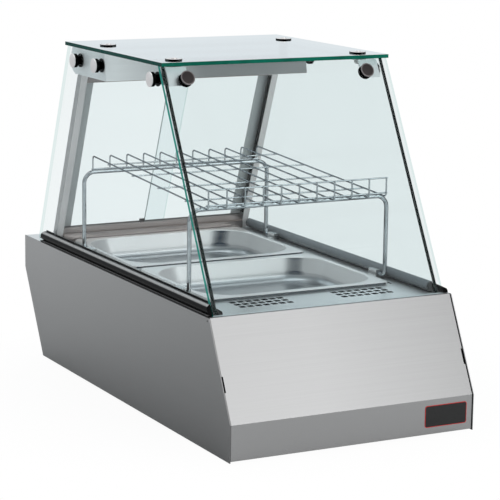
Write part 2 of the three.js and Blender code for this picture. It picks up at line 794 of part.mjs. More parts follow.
// One extrusion serves both sides: its tall part stands on the left of each side glass, its low foot on the right.
function lowProfile(face, edge, high, low) {
  const corner = edge - Math.sign(edge - face) * lowRail.round;
  return [
    [face, deckSeat], [face, deckSeat + high], [corner, deckSeat + low], [edge, deckSeat + low - lowRail.round],
    [edge, deckSeat],
  ];
}
const outerRailOf = (profile) =>
  cut(
    alongY(profile, railStart, outerRail.end),
    ahead(frontFace, -overrun, railFace + overrun, ...railCut),
    ahead(frontInner, glassEdge, railFace + overrun, ...railCut),
  );
add(leftSide, "left_outer_rail", outerRailOf(outerProfile), finish.black);
const lowOuter = lowProfile(railFace, outerRail.edge, lowRail.high, lowRail.low);
add(rightSide, "right_outer_rail", outerRailOf(lowOuter), finish.black);

const innerFace = glassIn + fit;
const lowInner = lowProfile(innerFace, innerFace + lowRail.innerWidth, lowRail.innerHigh, lowRail.innerLow);
add(
  leftSide,
  "left_inner_rail",
  cut(
    alongY(lowInner, railStart, innerRail.end),
    ahead(frontInner, innerFace - overrun, innerFace + lowRail.innerWidth + overrun, ...railCut),
  ),
  finish.black,
);
const innerMiddle = deckSeat + innerRail.height / 2;
const innerProfile = arc(0, 0, 1, -90, 90, 8).map(([u, v]) => [
  innerFace + u * innerRail.thick,
  innerMiddle + (v * innerRail.height) / 2,
]);
const innerStart = frontInner(innerMiddle + innerRail.height / 2);
add(rightSide, "right_inner_rail", alongY(innerProfile, innerStart, innerRail.end), finish.grey);

// Glass

const sideBottom = deckSeat + fit;
const sideTop = topUnder - fit;
const clampZ = topUnder - clampPlace.drop;
const sideGlass = [
  [frontInner(sideBottom), sideBottom],
  [glassBack(sideBottom), sideBottom],
  [glassBack(sideTop), sideTop],
  [frontInner(sideTop), sideTop],
];
const sidePlaces = [clampPlace.bracketSide, ...clampPlace.beamSides];
const clampHole = (u, v) => circle(u, v, clamp.hole, 12);
const sideHoles = sidePlaces.map((y) => clampHole(y, clampZ));
addPair("side_glass", alongX(sideGlass, glassOut, glassIn, sideHoles), finish.glass);

// A frame on the front glass's outer face, with its z along the outward normal.
const frontTilt = Math.atan2(1, frontSlope);
function onFront(object, x, z) {
  object.rotation.x = frontTilt;
  object.position.set(x, frontFace(z), z);
  return object;
}
const frontClampZ = topUnder - clampPlace.frontDrop;
const frontClampXs = [clampPlace.frontX, cabinet.width - clampPlace.frontX];
const drillProfile = [
  [0, overrun], [clamp.hole, overrun],
  [clamp.hole, -pane.front - overrun], [0, -pane.front - overrun],
];
const drills = frontClampXs.map((x) => {
  const drill = onFront(new THREE.Object3D(), x, frontClampZ);
  drill.updateMatrix();
  return turned(drillProfile, 12).applyMatrix4(drill.matrix);
});
add(
  displayCase,
  "front_glass",
  cut(
    leaning(
      frontFace, pane.front * frontStretch, deckSeat, sideTop,
      glazing.frontInset, cabinet.width - glazing.frontInset,
    ),
    ...drills,
  ),
  finish.glass,
);

const topFrontEdge = frontFace(topUnder) - pane.topOverhang;
const topClampXs = [clampPlace.topX, cabinet.width - clampPlace.topX];
const topClampYs = [clampPlace.topFront, clampPlace.topBack];
const topHoles = topClampXs.flatMap((x) => topClampYs.map((y) => clampHole(x, y)));
add(
  displayCase,
  "top_glass",
  alongZ(
    rectangle(glazing.frontInset, cabinet.width - glazing.frontInset, topFrontEdge, glassBack(topUnder)),
    topUnder, topUnder + pane.top, topHoles,
  ),
  finish.glass,
);

// Rear posts: channels open towards each other, with a narrow lip in front of the doors and a wide flange behind.
// Between them run the door tracks: three walls that lean with the doors, on a sill below and under the beam above.

const beamTop = topUnder + pane.top - plateOffset;
const beamBottom = beamTop - beam.height;
const postTop = beamBottom - fit;
const postX = glassIn + post.gap;
const wallRun = track.wall;
const paneRun = pane.door * rearStretch;
const channelDepth = 2 * wallRun + 2 * track.play + 2 * paneRun + track.between;
const frontDoor = (z) => postFace(z) + wallRun + track.play;
const rearDoor = (z) => frontDoor(z) + paneRun + track.between;
const trackRib = (z) => frontDoor(z) + paneRun + track.play;
const backWall = (z) => postFace(z) + channelDepth - wallRun;
const trackEnds = [postX + post.lip + fit, cabinet.width - postX - post.lip - fit];
const sillTop = deckSeat + sill.height;
const grooveFloor = sillTop + track.floor;
const trackTop = sillTop + track.height;
const sillFront = postFace(sillTop) - sill.lead;
const sillBack = backWall(sillTop) + wallRun + sill.back;
const sillPath = [
  [sillFront, deckSeat],
  [sillFront, sillTop],
  [sillBack, sillTop],
  [sillBack, deckSeat],
];
const walls = (z0, z1) => [
  leaning(postFace, wallRun, z0, z1, ...trackEnds),
  leaning(trackRib, track.between - 2 * track.play, z0, z1, ...trackEnds),
  leaning(backWall, wallRun, z0, z1, ...trackEnds),
];
add(
  displayCase,
  "door_sill",
  join(
    alongX(folded(sillPath, sill.wall), ...trackEnds),
    block(...trackEnds, postFace(sillTop), backWall(sillTop) + wallRun, sillTop - sill.wall / 2, grooveFloor),
    ...walls(sillTop, trackTop),
  ),
  finish.brushed,
);
const topTrackBase = postTop - track.floor;
const topTrackLow = topTrackBase - track.topWalls;
add(
  displayCase,
  "top_track",
  join(
    leaning(postFace, channelDepth, topTrackBase, postTop, ...trackEnds),
    ...walls(topTrackLow, topTrackBase + track.floor / 2),
  ),
  finish.brushed,
);

// The wide flange behind stops short of the tracks, which pass in front of it and over it.
const rearFlange = (width, z0, z1) => leaning(backWall, wallRun, z0, z1, postX, postX + width);
addPair(
  "rear_post",
  join(
    leaning(postFace, channelDepth, deckSeat, postTop, postX, postX + post.wall),
    leaning(postFace, wallRun, deckSeat, postTop, postX, postX + post.lip),
    rearFlange(post.lip, deckSeat, postTop),
    rearFlange(post.back, trackTop + fit, topTrackLow - fit),
  ),
  finish.brushed,
);

// Doors: plain panes, the left one on the rear track and the right one, with a glide block, on the front track.
const doorLow = grooveFloor + fit;
const doorHigh = topTrackBase - track.doorTop;
const doorStart = postX + post.wall + door.endPlay;
const doorInner = middle + door.overlap / 2;
const rightInner = cabinet.width - doorInner;
add(displayCase, "left_door", leaning(rearDoor, paneRun, doorLow, doorHigh, doorStart, doorInner), finish.glass);
add(
  displayCase,
  "right_door",
  leaning(frontDoor, paneRun, doorLow, doorHigh, rightInner, cabinet.width - doorStart),
  finish.glass,
);
add(
  displayCase,
  "right_door_glide",
  leaning(frontDoor, paneRun, doorLow, doorLow + glide.height, rightInner - fit - glide.width, rightInner - fit),
  finish.brown,
);

// Top beam: a tray of sheet, open to the back, closed by a cheek at each end.

const halfWall = beam.wall / 2;
const beamEnds = [plateX + halfWall, cabinet.width - plateX - halfWall];
const beamFront = (z) => beam.frontTop - (beam.frontLean * (beamTop - z)) / beam.height;
const cheekLow = beamBottom + halfWall;
const cheekHigh = beamTop - halfWall;
const cheekOutline = [
  [beamFront(cheekLow) + halfWall, cheekLow],
  ...arc(glassBack(cheekLow + beam.round) - beam.round, cheekLow + beam.round, beam.round, -90, 0, 5),
  [glassBack(cheekHigh), cheekHigh],
  [beamFront(cheekHigh) + halfWall, cheekHigh],
];
const cheekHoles = clampPlace.beamSides.map((y) => circle(y, clampZ, clamp.studHole, 10));
const beamPath = [
  [beam.floorBack, beamBottom],
  [beamFront(beamBottom), beamBottom],
  [beamFront(beamTop), beamTop],
  [glassBack(beamTop), beamTop],
];
const beamDrills = topClampXs.map((x) =>
  alongZ(circle(x, clampPlace.topBack, clamp.studHole, 10), beamTop - overrun, beamTop + overrun));
add(
  displayCase,
  "top_beam",
  cut(
    join(
      alongX(folded(beamPath, beam.wall), ...beamEnds),
      alongX(cheekOutline, plateX, plateX + beam.wall, cheekHoles),
      alongX(cheekOutline, cabinet.width - plateX - beam.wall, cabinet.width - plateX, cheekHoles),
    ),
    ...beamDrills,
  ),
  finish.brushed,
);

// Corner brackets: a cheek by the side glass, a flange behind the front glass and one under the top glass.
const bracketFace = (z) => frontFace(z) + plateOffset * frontStretch;
const bracketLow = beamTop - bracket.height;
const bracketBack = bracketFace(beamTop) + bracket.depth;
const bracketX = [plateX, plateX + bracket.width];
const bracketCheek = [
  [bracketFace(bracketLow), bracketLow],
  [bracketBack, bracketLow],
  [bracketBack, beamTop],
  [bracketFace(beamTop), beamTop],
];
const bracketHoles = [circle(clampPlace.bracketSide, clampZ, clamp.studHole, 10)];
const bracketDrill = onFront(new THREE.Object3D(), clampPlace.frontX, frontClampZ);
bracketDrill.updateMatrix();
const studDrill = [
  [0, -plateOffset + overrun], [clamp.studHole, -plateOffset + overrun], [clamp.studHole, -plateOffset - overrun],
  [0, -plateOffset - overrun],
];
addPair(
  "corner_bracket",
  cut(
    join(
      alongX(bracketCheek, plateX, plateX + bracket.wall, bracketHoles),
      leaning(bracketFace, bracket.wall * frontStretch, bracketLow, beamTop, ...bracketX),
      block(...bracketX, bracketFace(beamTop), bracketBack, beamTop - bracket.wall, beamTop),
    ),
    turned(studDrill, 10).applyMatrix4(bracketDrill.matrix),
    alongZ(circle(clampPlace.topX, clampPlace.topFront, clamp.studHole, 10), beamTop - overrun, beamTop + overrun),
  ),
  finish.brushed,
);

// Glass clamps: a cap and a pad outside the pane, a sleeve in its hole, a pad inside, then stud and nut.

function clampGeometry(pad, padRadius, capRadius) {
  const innerPadEnd = -pane.side - fit - clamp.innerPad;
  const nutStart = -plateOffset - beam.wall - fit;
  const nutEnd = nutStart - clamp.nut;
  const capBottom = fit + pad;
  const capTop = capBottom + clamp.cap;
  return turned(
    [
      [0, capTop],
      [capRadius - clamp.chamfer, capTop],
      [capRadius, capTop - clamp.chamfer],
      [capRadius, capBottom],
      [padRadius, capBottom],
      [padRadius, fit],
      [clamp.sleeve, fit],
      [clamp.sleeve, -pane.side - fit],
      [padRadius, -pane.side - fit],
      [padRadius, innerPadEnd],
      [clamp.stud, innerPadEnd],
      [clamp.stud, nutStart],
      [clamp.nutRadius, nutStart],
      [clamp.nutRadius, nutEnd],
      [clamp.stud, nutEnd],
      [clamp.stud, nutEnd - clamp.end],
      [0, nutEnd - clamp.end],
    ],
    16,
  );
}
const sideClamp = clampGeometry(clamp.pad, clamp.padRadius, clamp.capRadius);
const frontClamp = clampGeometry(clamp.frontPad, clamp.padRadius, clamp.capRadius);
for (const [place, y] of [["front", sidePlaces[0]], ["middle", sidePlaces[1]], ["back", sidePlaces[2]]]) {
  const geometry = sideClamp.clone().rotateY(-Math.PI / 2).translate(glassOut, y, clampZ);
  addPair("side_clamp_" + place, geometry, finish.cap);
}
for (const [group, side] of [[leftSide, "left"], [rightSide, "right"]]) {
  const held = add(group, side + "_front_clamp", frontClamp, finish.cap);
  onFront(held, clampPlace.frontX, frontClampZ);
}
for (const [place, y] of [["front", clampPlace.topFront], ["back", clampPlace.topBack]]) {
  const geometry = clampGeometry(topClamp.pad, topClamp.padRadius, topClamp.capRadius);
  geometry.translate(clampPlace.topX, y, topUnder + pane.top);
  addPair("top_clamp_" + place, geometry, finish.cap);
}

// Wire rack on two bent frames, whose feet plug into clips on the deck

const barZ = deckTop + rack.barHeight;
const footZ = deckSeat + clip.height / 2;
const rightLegX = cabinet.width - rack.legX;
function rackFrame(y, reach) {
  const corners = [
    [rack.legX, y + reach, footZ],
    [rack.legX, y, footZ],
    [rack.legX, y, barZ],
    [rightLegX, y, barZ],
    [rightLegX, y, footZ],
    [rightLegX, y + reach, footZ],
  ].map((corner) => new THREE.Vector3(...corner));
  return bar(corners, rod.radius, [rod.footBend, rod.bend, rod.bend, rod.footBend], 10, 5);
}
add(displayCase, "rack_frame_front", rackFrame(rack.front, rack.footReach), finish.chrome);
add(displayCase, "rack_frame_back", rackFrame(rack.back, -rack.footReach), finish.chrome);

const clipX = [rack.legX - clip.width / 2, rack.legX + clip.width / 2];
const clipProfile = rectangle(...clipX, deckSeat, deckSeat + clip.height);
const clipBore = circle(rack.legX, footZ, clip.bore, 10);
const clipStarts = [["front", rack.front + clip.reach], ["back", rack.back - clip.reach - clip.length]];
for (const [place, y] of clipStarts) {
  addPair("rack_clip_" + place, alongY(clipProfile, y, y + clip.length, [clipBore]), finish.brushed);
}

// The grid leans a little: its wires stand up at the back, run down towards the front and turn up in a lip.
// Its standing ends pass behind the back frame's bar.
const gridTop = barZ + rod.radius + fit + wire.radius;
const gridBack = rack.back + rod.radius + fit + wire.radius;
const gridSlope = wire.slope / (gridBack - rack.front);
const gridZ = (y) => gridTop + gridSlope * (y - rack.front);
const firstX = rack.legX + wire.edge;
const lastX = rightLegX - wire.edge;
const longWires = Array.from({ length: wire.count }, (_, i) => {
  const x = firstX + (i * (lastX - firstX)) / (wire.count - 1);
  const corners = [
    [x, gridBack, barZ],
    [x, gridBack, gridZ(gridBack)],
    [x, wire.lipY, gridZ(wire.lipY)],
    [x, wire.lipY, gridZ(wire.lipY) + wire.lipRise],
  ].map((corner) => new THREE.Vector3(...corner));
  return bar(corners, wire.radius, [wire.bend, wire.bend], 6, 3);
});
function crossWire(y, z) {
  const ends = [firstX - wire.radius - wire.overhang, lastX + wire.radius + wire.overhang];
  return bar(ends.map((x) => new THREE.Vector3(x, y, z)), wire.radius, [], 6, 1);
}
const sunk = 2 * wire.radius - wire.weld;
const crossWires = crossShares.map((share) => {
  const y = rack.front + share * (rack.back - rack.front);
  return crossWire(y, gridZ(y) - sunk);
});
add(
  displayCase,
  "rack_grid",
  join(
    ...longWires,
    ...crossWires,
    crossWire(wire.lipY + sunk, gridZ(wire.lipY) + wire.bend),
    crossWire(wire.lipY + sunk, gridZ(wire.lipY) + wire.lipRise - wire.radius),
    crossWire(gridBack - sunk, gridTop - wire.weld),
  ),
  finish.chrome,
);

const part = new THREE.Group();
part.add(displayCase);
export default part;
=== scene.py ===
import math
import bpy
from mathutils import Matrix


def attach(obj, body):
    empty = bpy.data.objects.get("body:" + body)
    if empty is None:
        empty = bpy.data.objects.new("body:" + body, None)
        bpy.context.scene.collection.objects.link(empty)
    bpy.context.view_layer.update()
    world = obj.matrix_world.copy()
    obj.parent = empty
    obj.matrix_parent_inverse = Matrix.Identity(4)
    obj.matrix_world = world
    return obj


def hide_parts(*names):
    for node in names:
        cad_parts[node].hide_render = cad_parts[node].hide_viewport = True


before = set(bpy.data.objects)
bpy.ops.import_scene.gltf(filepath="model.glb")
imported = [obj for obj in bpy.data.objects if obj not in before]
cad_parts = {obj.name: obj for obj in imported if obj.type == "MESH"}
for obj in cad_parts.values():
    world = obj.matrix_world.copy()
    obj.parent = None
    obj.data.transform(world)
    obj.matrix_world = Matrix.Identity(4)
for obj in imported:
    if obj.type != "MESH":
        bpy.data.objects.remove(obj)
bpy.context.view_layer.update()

from types import SimpleNamespace as Sizes

import bmesh
import bpy
from mathutils import Matrix, Vector

# The studio: a plain pale floor under soft light. The camera stands in front of the case, to its left and a
# little above, with a long lens. What it sees past the case is white.

studio = bpy.context.scene
studio.view_settings.view_transform = "Standard"

EYE = Vector((-1.5551, -3.0060, 0.8955))
AZIMUTH, ELEVATION, ROLL = math.radians(-27.867), math.radians(11.019), math.radians(0.776)
FRAME_PIXELS, FOCAL_PIXELS, SENSOR = 500, 2049.97, 36.0
backwards = Vector((
    math.sin(AZIMUTH) * math.cos(ELEVATION),
    -math.cos(AZIMUTH) * math.cos(ELEVATION),
    math.sin(ELEVATION),
))
level = (-backwards).cross(Vector((0, 0, 1))).normalized()
upright = level.cross(-backwards)
rightwards = math.cos(ROLL) * level + math.sin(ROLL) * upright
upwards = math.cos(ROLL) * upright - math.sin(ROLL) * level
lens = bpy.data.cameras.new("camera")
lens.sensor_width = SENSOR
lens.lens = FOCAL_PIXELS / FRAME_PIXELS * SENSOR
camera = bpy.data.objects.new("camera", lens)
camera.matrix_world = Matrix.Translation(EYE) @ Matrix((rightwards, upwards, backwards)).transposed().to_4x4()
studio.collection.objects.link(camera)
studio.camera = camera

CENTRE = Vector((0, 0, 0.25))


def soft_light(name, place, size, power):
    """A square softbox at a place, turned towards the case."""
    lamp = bpy.data.lights.new(name, "AREA")
    lamp.size = size
    lamp.energy = power
    box = bpy.data.objects.new(name, lamp)
    box.location = place
    box.rotation_euler = (CENTRE - Vector(place)).to_track_quat("-Z", "Y").to_euler()
    studio.collection.objects.link(box)


soft_light("front_softbox", (1.6, -3.2, 2.4), size=2.4, power=26)
soft_light("low_softbox", (1.9, -3.5, 1.0), size=1.8, power=13)
soft_light("top_softbox", (0.2, 0.3, 3.2), size=2.4, power=30)
soft_light("back_softbox", (-1.2, 3.0, 2.2), size=1.8, power=14)


class Value:
    """A number that varies over a surface: Python's operators on it add Math nodes."""

    def __init__(self, finish, socket):
        self.finish = finish
        self.socket = socket

    def math(self, operation, first, second=0.0):
        return self.finish.node("ShaderNodeMath", {"operation": operation}, {0: first, 1: second})

    def __add__(self, other):
        return self.math("ADD", self, other)

    def __radd__(self, other):
        return self.math("ADD", other, self)

    def __sub__(self, other):
        return self.math("SUBTRACT", self, other)

    def __rsub__(self, other):
        return self.math("SUBTRACT", other, self)

    def __mul__(self, other):
        return self.math("MULTIPLY", self, other)

    def __rmul__(self, other):
        return self.math("MULTIPLY", other, self)

    def __abs__(self):
        return self.math("ABSOLUTE", self)

    def over(self, limit):
        """1 where the value is over the limit, else 0."""
        return self.math("GREATER_THAN", self, limit)

    def under(self, limit):
        return self.math("LESS_THAN", self, limit)

    def most(self, other):
        return self.math("MAXIMUM", self, other)

    def ramp(self, low, high, start=0.0, end=1.0):
        """Goes from start to end as the value goes from low to high, and is level outside them."""
        sockets = {"Value": self, "From Min": low, "From Max": high, "To Min": start, "To Max": end}
        return self.finish.node("ShaderNodeMapRange", {"clamp": True}, sockets)


class Finish:
    """A material being made. node() adds any node, from its settings and its sockets' values or links."""

    def __init__(self, name, tree=None):
        if tree is None:
            self.material = bpy.data.materials.new(name)
            self.material.use_nodes = True
            tree = self.material.node_tree
        self.tree = tree
        self.tree.nodes.clear()

    def node(self, kind, settings=None, sockets=None, output=0):
        made = self.tree.nodes.new(kind)
        for key, value in (settings or {}).items():
            setattr(made, key, value)
        for key, value in (sockets or {}).items():
            if isinstance(value, Value):
                self.tree.links.new(value.socket, made.inputs[key])
            else:
                made.inputs[key].default_value = value
        return Value(self, made.outputs[output]) if made.outputs else None

    def place(self, output="Object"):
        return self.node("ShaderNodeTexCoord", output=output)

    def axis(self, name, place=None):
        """How far along an axis a place is."""
        return self.node("ShaderNodeSeparateXYZ", None, {0: place or self.place()}, "XYZ".index(name))

    def distance(self):
        """How far a place is from its own piece's origin."""
        return self.node("ShaderNodeVectorMath", {"operation": "LENGTH"}, {0: self.place()}, "Value")

    def facing(self, direction):
        """The share of the surface's own normal along a direction."""
        sockets = {0: self.place("Normal"), 1: direction}
        return self.node("ShaderNodeVectorMath", {"operation": "DOT_PRODUCT"}, sockets, "Value")

    def looking(self, direction, limit=0.7):
        """1 on the faces whose normals have more than the limit along a direction, else 0."""
        return self.facing(direction).over(limit)

    def noise(self, scale, detail=3.0, roughness=0.6):
        """Noise in a piece's own space, with a scale along each axis."""
        stretch = {"Vector": self.place(), "Scale": scale}
        stretched = self.node("ShaderNodeMapping", {"vector_type": "POINT"}, stretch)
        sockets = {"Vector": stretched, "Scale": 1.0, "Detail": detail, "Roughness": roughness}
        return self.node("ShaderNodeTexNoise", {"noise_dimensions": "3D"}, sockets)

    def blend(self, share, first, second):
        """A colour between two others."""
        settings = {"data_type": "RGBA", "blend_type": "MIX"}
        return self.node("ShaderNodeMix", settings, {0: share, 6: first, 7: second}, 2)

    def mixed(self, share, first, second):
        """A shader between two others."""
        return self.node("ShaderNodeMixShader", None, {0: share, 1: first, 2: second})

    def bump(self, height, depth, strength):
        return self.node("ShaderNodeBump", None, {"Strength": strength, "Distance": depth, "Height": height})

    def surface(self, **sockets):
        named = {key.replace("_", " "): value for key, value in sockets.items()}
        return self.node("ShaderNodeBsdfPrincipled", None, named)

    def done(self, shader):
        self.node("ShaderNodeOutputMaterial", None, {"Surface": shader})
        return self.material


def rgb(red, green, blue):
    return (red, green, blue, 1.0)


# The room is white to the camera, also through glass. The steel mirrors grey walls instead, which lighten
# upwards and to the back. The floor is grey paper that the camera sees as white, apart from a faint shadow
# near the case.

WHITE, ROOM_LOW = rgb(1, 1, 1), rgb(0.30, 0.31, 0.32)
ROOM_HIGH, ROOM_BACK = rgb(0.62, 0.63, 0.64), rgb(0.74, 0.79, 0.82)
room = bpy.data.worlds.new("room")
room.use_nodes = True
studio.world = room
sky = Finish("room", room.node_tree)
height = sky.axis("Z", sky.place("Generated"))
behind = sky.axis("Y", sky.place("Generated"))
wall = sky.blend(height.ramp(0.0, 0.8), ROOM_LOW, ROOM_HIGH)
wall = sky.blend(behind.ramp(0.1, 0.7), wall, ROOM_BACK)
seen = sky.node("ShaderNodeLightPath", output="Is Camera Ray")
seen = seen.most(sky.node("ShaderNodeLightPath", output="Is Transmission Ray"))
room_light = sky.node("ShaderNodeBackground", None, {"Color": sky.blend(seen, wall, WHITE), "Strength": 1.0})
sky.node("ShaderNodeOutputWorld", None, {"Surface": room_light})

FLOOR_HALF = 6.0
SHADOW = Sizes(near=0.28, far=0.55, white=0.95)
floor_corners = [(x * FLOOR_HALF, y * FLOOR_HALF, 0) for x, y in ((-1, -1), (1, -1), (1, 1), (-1, 1))]
floor_mesh = bpy.data.meshes.new("floor")
floor_mesh.from_pydata(floor_corners, [], [(0, 1, 2, 3)])
floor = bpy.data.objects.new("floor", floor_mesh)
studio.collection.objects.link(floor)
paper = Finish("paper")
paper_seen = paper.node("ShaderNodeLightPath", output="Is Camera Ray")
paper_whitened = paper_seen * paper.distance().ramp(SHADOW.near, SHADOW.far, SHADOW.white, 1.0)
paper_sheet = paper.surface(Base_Color=rgb(0.7, 0.7, 0.7), Roughness=0.9)
paper_white = paper.node("ShaderNodeEmission", None, {"Color": WHITE, "Strength": 1.0})
floor_mesh.materials.append(paper.done(paper.mixed(paper_whitened, paper_sheet, paper_white)))


# The side panels are flat stainless sheet with a fine satin finish, cut to the cabinet's outline with a
# sloping front edge. They carry the whole case, and stand a little proud of the panels between them.


def dressed(*names, finish):
    """Gives CAD nodes a finish of their own."""
    for name in names:
        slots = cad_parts[name].data.materials
        slots.clear()
        slots.append(finish)


def both(name):
    return ["left_" + name, "right_" + name]


def tint(shade, warmth=0.0):
    """A grey of some shade, warmer as warmth goes up from 0."""
    return rgb(shade * (1 + warmth), shade * (1 - warmth * 0.35), shade * (1 - warmth * 0.75))


def brushed_steel(name, shade, along, roughness, contrast=0.08, warmth=0.0, fineness=2200.0, fades=(),
                  patches=(), metallic=1.0, dull=None):
    """Rolled stainless sheet: fine lines along one axis, slow clouds of tone and a few handling marks.

    fades are axes, with two places on each and how many times lighter the steel is at the second one, and
    so paint light and shade. patches are directions, limits and colours: a face has the colour if more of
    its normal than the limit lies along the direction, which paints light and shade on the faces that look
    one way. If dull is a direction, only faces that look that way have the stated metallic share, and the
    others are fully metallic.
    """
    finish = Finish(name)

    def streaks(crossways, lengthways, detail, coarseness=0.6):
        scale = [crossways] * 3
        scale["XYZ".index(along)] = lengthways
        return finish.noise(tuple(scale), detail, coarseness)

    lines = streaks(fineness, 5.0, 3.0, 0.7)
    bands = streaks(fineness / 14, 1.2, 2.0)
    clouds = finish.noise((7.0, 7.0, 7.0), 2.0)
    marks = finish.noise((60.0, 60.0, 60.0), 4.0, 0.75).ramp(0.66, 0.80)
    tone = (lines * 0.5 + bands * 0.3 + clouds * 0.2).ramp(0.3, 0.7)
    brightness = tone.ramp(0.0, 1.0, shade * (1 - contrast), shade * (1 + contrast))
    for axis, start, end, times in fades:
        brightness = brightness * finish.axis(axis).ramp(start, end, 1.0, times)
    colour = finish.blend(brightness, rgb(0, 0, 0), tint(1.0, warmth))
    for direction, limit, patch in patches:
        colour = finish.blend(finish.looking(direction, limit), colour, patch)
    if dull:
        metallic = 1.0 - finish.looking(dull, 0.5) * (1.0 - metallic)
    return finish.done(finish.surface(
        Base_Color=colour,
        Metallic=metallic,
        Roughness=roughness + (tone - 0.5) * 0.10 + marks * 0.06,
        Normal=finish.bump(lines + bands * 0.4, 0.00002, 0.5),
    ))


# Painted light and shade: the side steel is painted lighter upwards and towards the back.
side_steel = brushed_steel("side_satin_steel", 0.208, "Y", roughness=0.42, contrast=0.05,
                           fades=[("Z", 0.0, 0.2, 1.5), ("Y", -0.35, 0.3, 1.33)])
dressed(*both("side_panel"), finish=side_steel)


# The front panel is one sheet folded twice, an upright band and a tall slope, brushed across. A plain black
# plate with a red edge is stuck to the band's right end.

LEFTWARD, RIGHTWARD, FORWARD, BACKWARD = (-1, 0, 0), (1, 0, 0), (0, -1, 0), (0, 1, 0)
DOWNWARD, UPWARD, INTO_CASE = (0, 0, -1), (0, 0, 1), (0.0, 0.95, -0.3)
SHADE_BLACK = rgb(0.010, 0.012, 0.018)
# Painted light and shade: the front steel is painted darker to the right, its faces that look into the case
# are painted black as shade, and its upright band is painted one even grey for the light it gets.
front_steel = brushed_steel("front_brushed_steel", 0.395, "X", roughness=0.38, contrast=0.10, fineness=1400.0,
                            fades=[("X", -0.05, 0.22, 0.83)],
                            patches=[(INTO_CASE, 0.4, SHADE_BLACK), (FORWARD, 0.95, tint(0.405))])
dressed("front_panel", finish=front_steel)

CASE = Sizes(wide=430, deep=833, foot=5)


def mm(x, y, z):
    """A place in millimetres from the lower front left corner of the cabinet."""
    return Vector(((x - CASE.wide / 2) / 1000, (y - CASE.deep / 2) / 1000, (z + CASE.foot) / 1000))


def piece(name, shell, finishes, nodes=(), body="case", place=None, picks=None, crease=35):
    """A mesh piece from a shell of vertices and faces, with its edges sharp from the crease angle on.

    picks gives the finish of each face, and without it all the faces have the first one.
    """
    vertices, faces = shell
    mesh = bpy.data.meshes.new(name)
    mesh.from_pydata([tuple(vertex) for vertex in vertices], [], faces)
    for finish in finishes:
        mesh.materials.append(finish)
    for index, polygon in enumerate(mesh.polygons):
        polygon.use_smooth = True
        polygon.material_index = picks[index] if picks else 0
    turned_out = bmesh.new()
    turned_out.from_mesh(mesh)
    bmesh.ops.recalc_face_normals(turned_out, faces=turned_out.faces)
    turned_out.to_mesh(mesh)
    turned_out.free()
    mesh.set_sharp_from_angle(angle=math.radians(crease))
    made = bpy.data.objects.new(name, mesh)
    if place is not None:
        made.matrix_world = place
    studio.collection.objects.link(made)
    if nodes:
        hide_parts(*nodes)
    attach(made, body)


def arc(centre, radius, start, end, steps):
    """Points of an arc about a centre, from one angle to another in degrees."""
    angles = [math.radians(start + (end - start) * step / steps) for step in range(steps + 1)]
    return [(centre[0] + radius * math.cos(a), centre[1] + radius * math.sin(a)) for a in angles]


def rounded_rectangle(left, right, low, high, radius, steps):
    return (
        arc((right - radius, low + radius), radius, -90, 0, steps)
        + arc((right - radius, high - radius), radius, 0, 90, steps)
        + arc((left + radius, high - radius), radius, 90, 180, steps)
        + arc((left + radius, low + radius), radius, 180, 270, steps)
    )


def loft(rings, closed=False):
    """A shell through rings of equal counts, with its ends filled, or joined to each other if closed."""
    count = len(rings[0])
    vertices = [vertex for ring in rings for vertex in ring]
    faces = []
    pairs = len(rings) if closed else len(rings) - 1
    for ring in range(pairs):
        below, above = ring * count, (ring + 1) % len(rings) * count
        for i in range(count):
            j = (i + 1) % count
            faces.append((below + i, below + j, above + j, above + i))
    if not closed:
        faces.append(tuple(reversed(range(count))))
        faces.append(tuple(range((len(rings) - 1) * count, len(rings) * count)))
    return vertices, faces


def plain(name, colour, roughness, metallic=0.0, grain=300.0, index=1.5):
    """Moulded or painted stuff: a fine mottle in its colour, its gloss and its skin."""
    finish = Finish(name)
    mottle = finish.noise((grain, grain, grain), 3.0)
    lighter = rgb(*(min(1.0, part * 1.5 + 0.01) for part in colour[:3]))
    return finish.done(finish.surface(
        Base_Color=finish.blend(mottle.ramp(0.3, 0.7, 0.0, 0.3), colour, lighter),
        Metallic=metallic,
        Roughness=roughness + (mottle - 0.5) * 0.1,
        IOR=index,
        Normal=finish.bump(mottle, 0.00005, 0.3),
    ))


PLATE = Sizes(left=341, right=418, low=13, high=48, corner=4, edge=1.1, back=1.5, face=1.1, ease=0.12)


def plate_ring(inset, y):
    left, right = PLATE.left + inset, PLATE.right - inset
    low, high = PLATE.low + inset, PLATE.high - inset
    return [mm(x, y, z) for x, z in rounded_rectangle(left, right, low, high, PLATE.corner - inset, 6)]


plate_rings = [
    plate_ring(0, PLATE.back),
    plate_ring(0, PLATE.face + PLATE.ease),
    plate_ring(PLATE.ease, PLATE.face),
    plate_ring(PLATE.edge, PLATE.face),
    plate_ring(PLATE.edge + PLATE.ease, PLATE.face + PLATE.ease),
]
plate_red = plain("plate_red", rgb(0.55, 0.01, 0.01), 0.3)
plate_black = plain("plate_black", rgb(0.006, 0.006, 0.006), 0.3)
around = len(plate_rings[0])
piece("name_plate", loft(plate_rings), [plate_red, plate_black],
      picks=[0] * 3 * around + [1] * around + [0, 1])


# The back panel is folded like the front one, and its upright strip carries the controls. The bottom plate
# closes the cabinet, on four low rubber feet with a recess under each.

dressed("back_panel", finish=brushed_steel("back_brushed_steel", 0.50, "X", roughness=0.38, contrast=0.05))
# The bottom plate's upper face is painted black as shade.
bottom_steel = brushed_steel("bottom_steel", 0.40, "X", roughness=0.45, contrast=0.05,
                             patches=[(UPWARD, 0.4, SHADE_BLACK)])
dressed("bottom_plate", finish=bottom_steel)


def turned(profile, segments):
    """A shell turned about z from (radius, height) points, in millimetres.

    A profile that doesn't meet the axis closes on itself.
    """
    on_axis = profile[0][0] == 0
    points = profile[1:-1] if on_axis else profile
    rings = [
        [Vector((radius * math.cos(turn), radius * math.sin(turn), height)) / 1000
         for turn in (2 * math.pi * i / segments for i in range(segments))]
        for radius, height in points
    ]
    return loft(rings, closed=not on_axis)


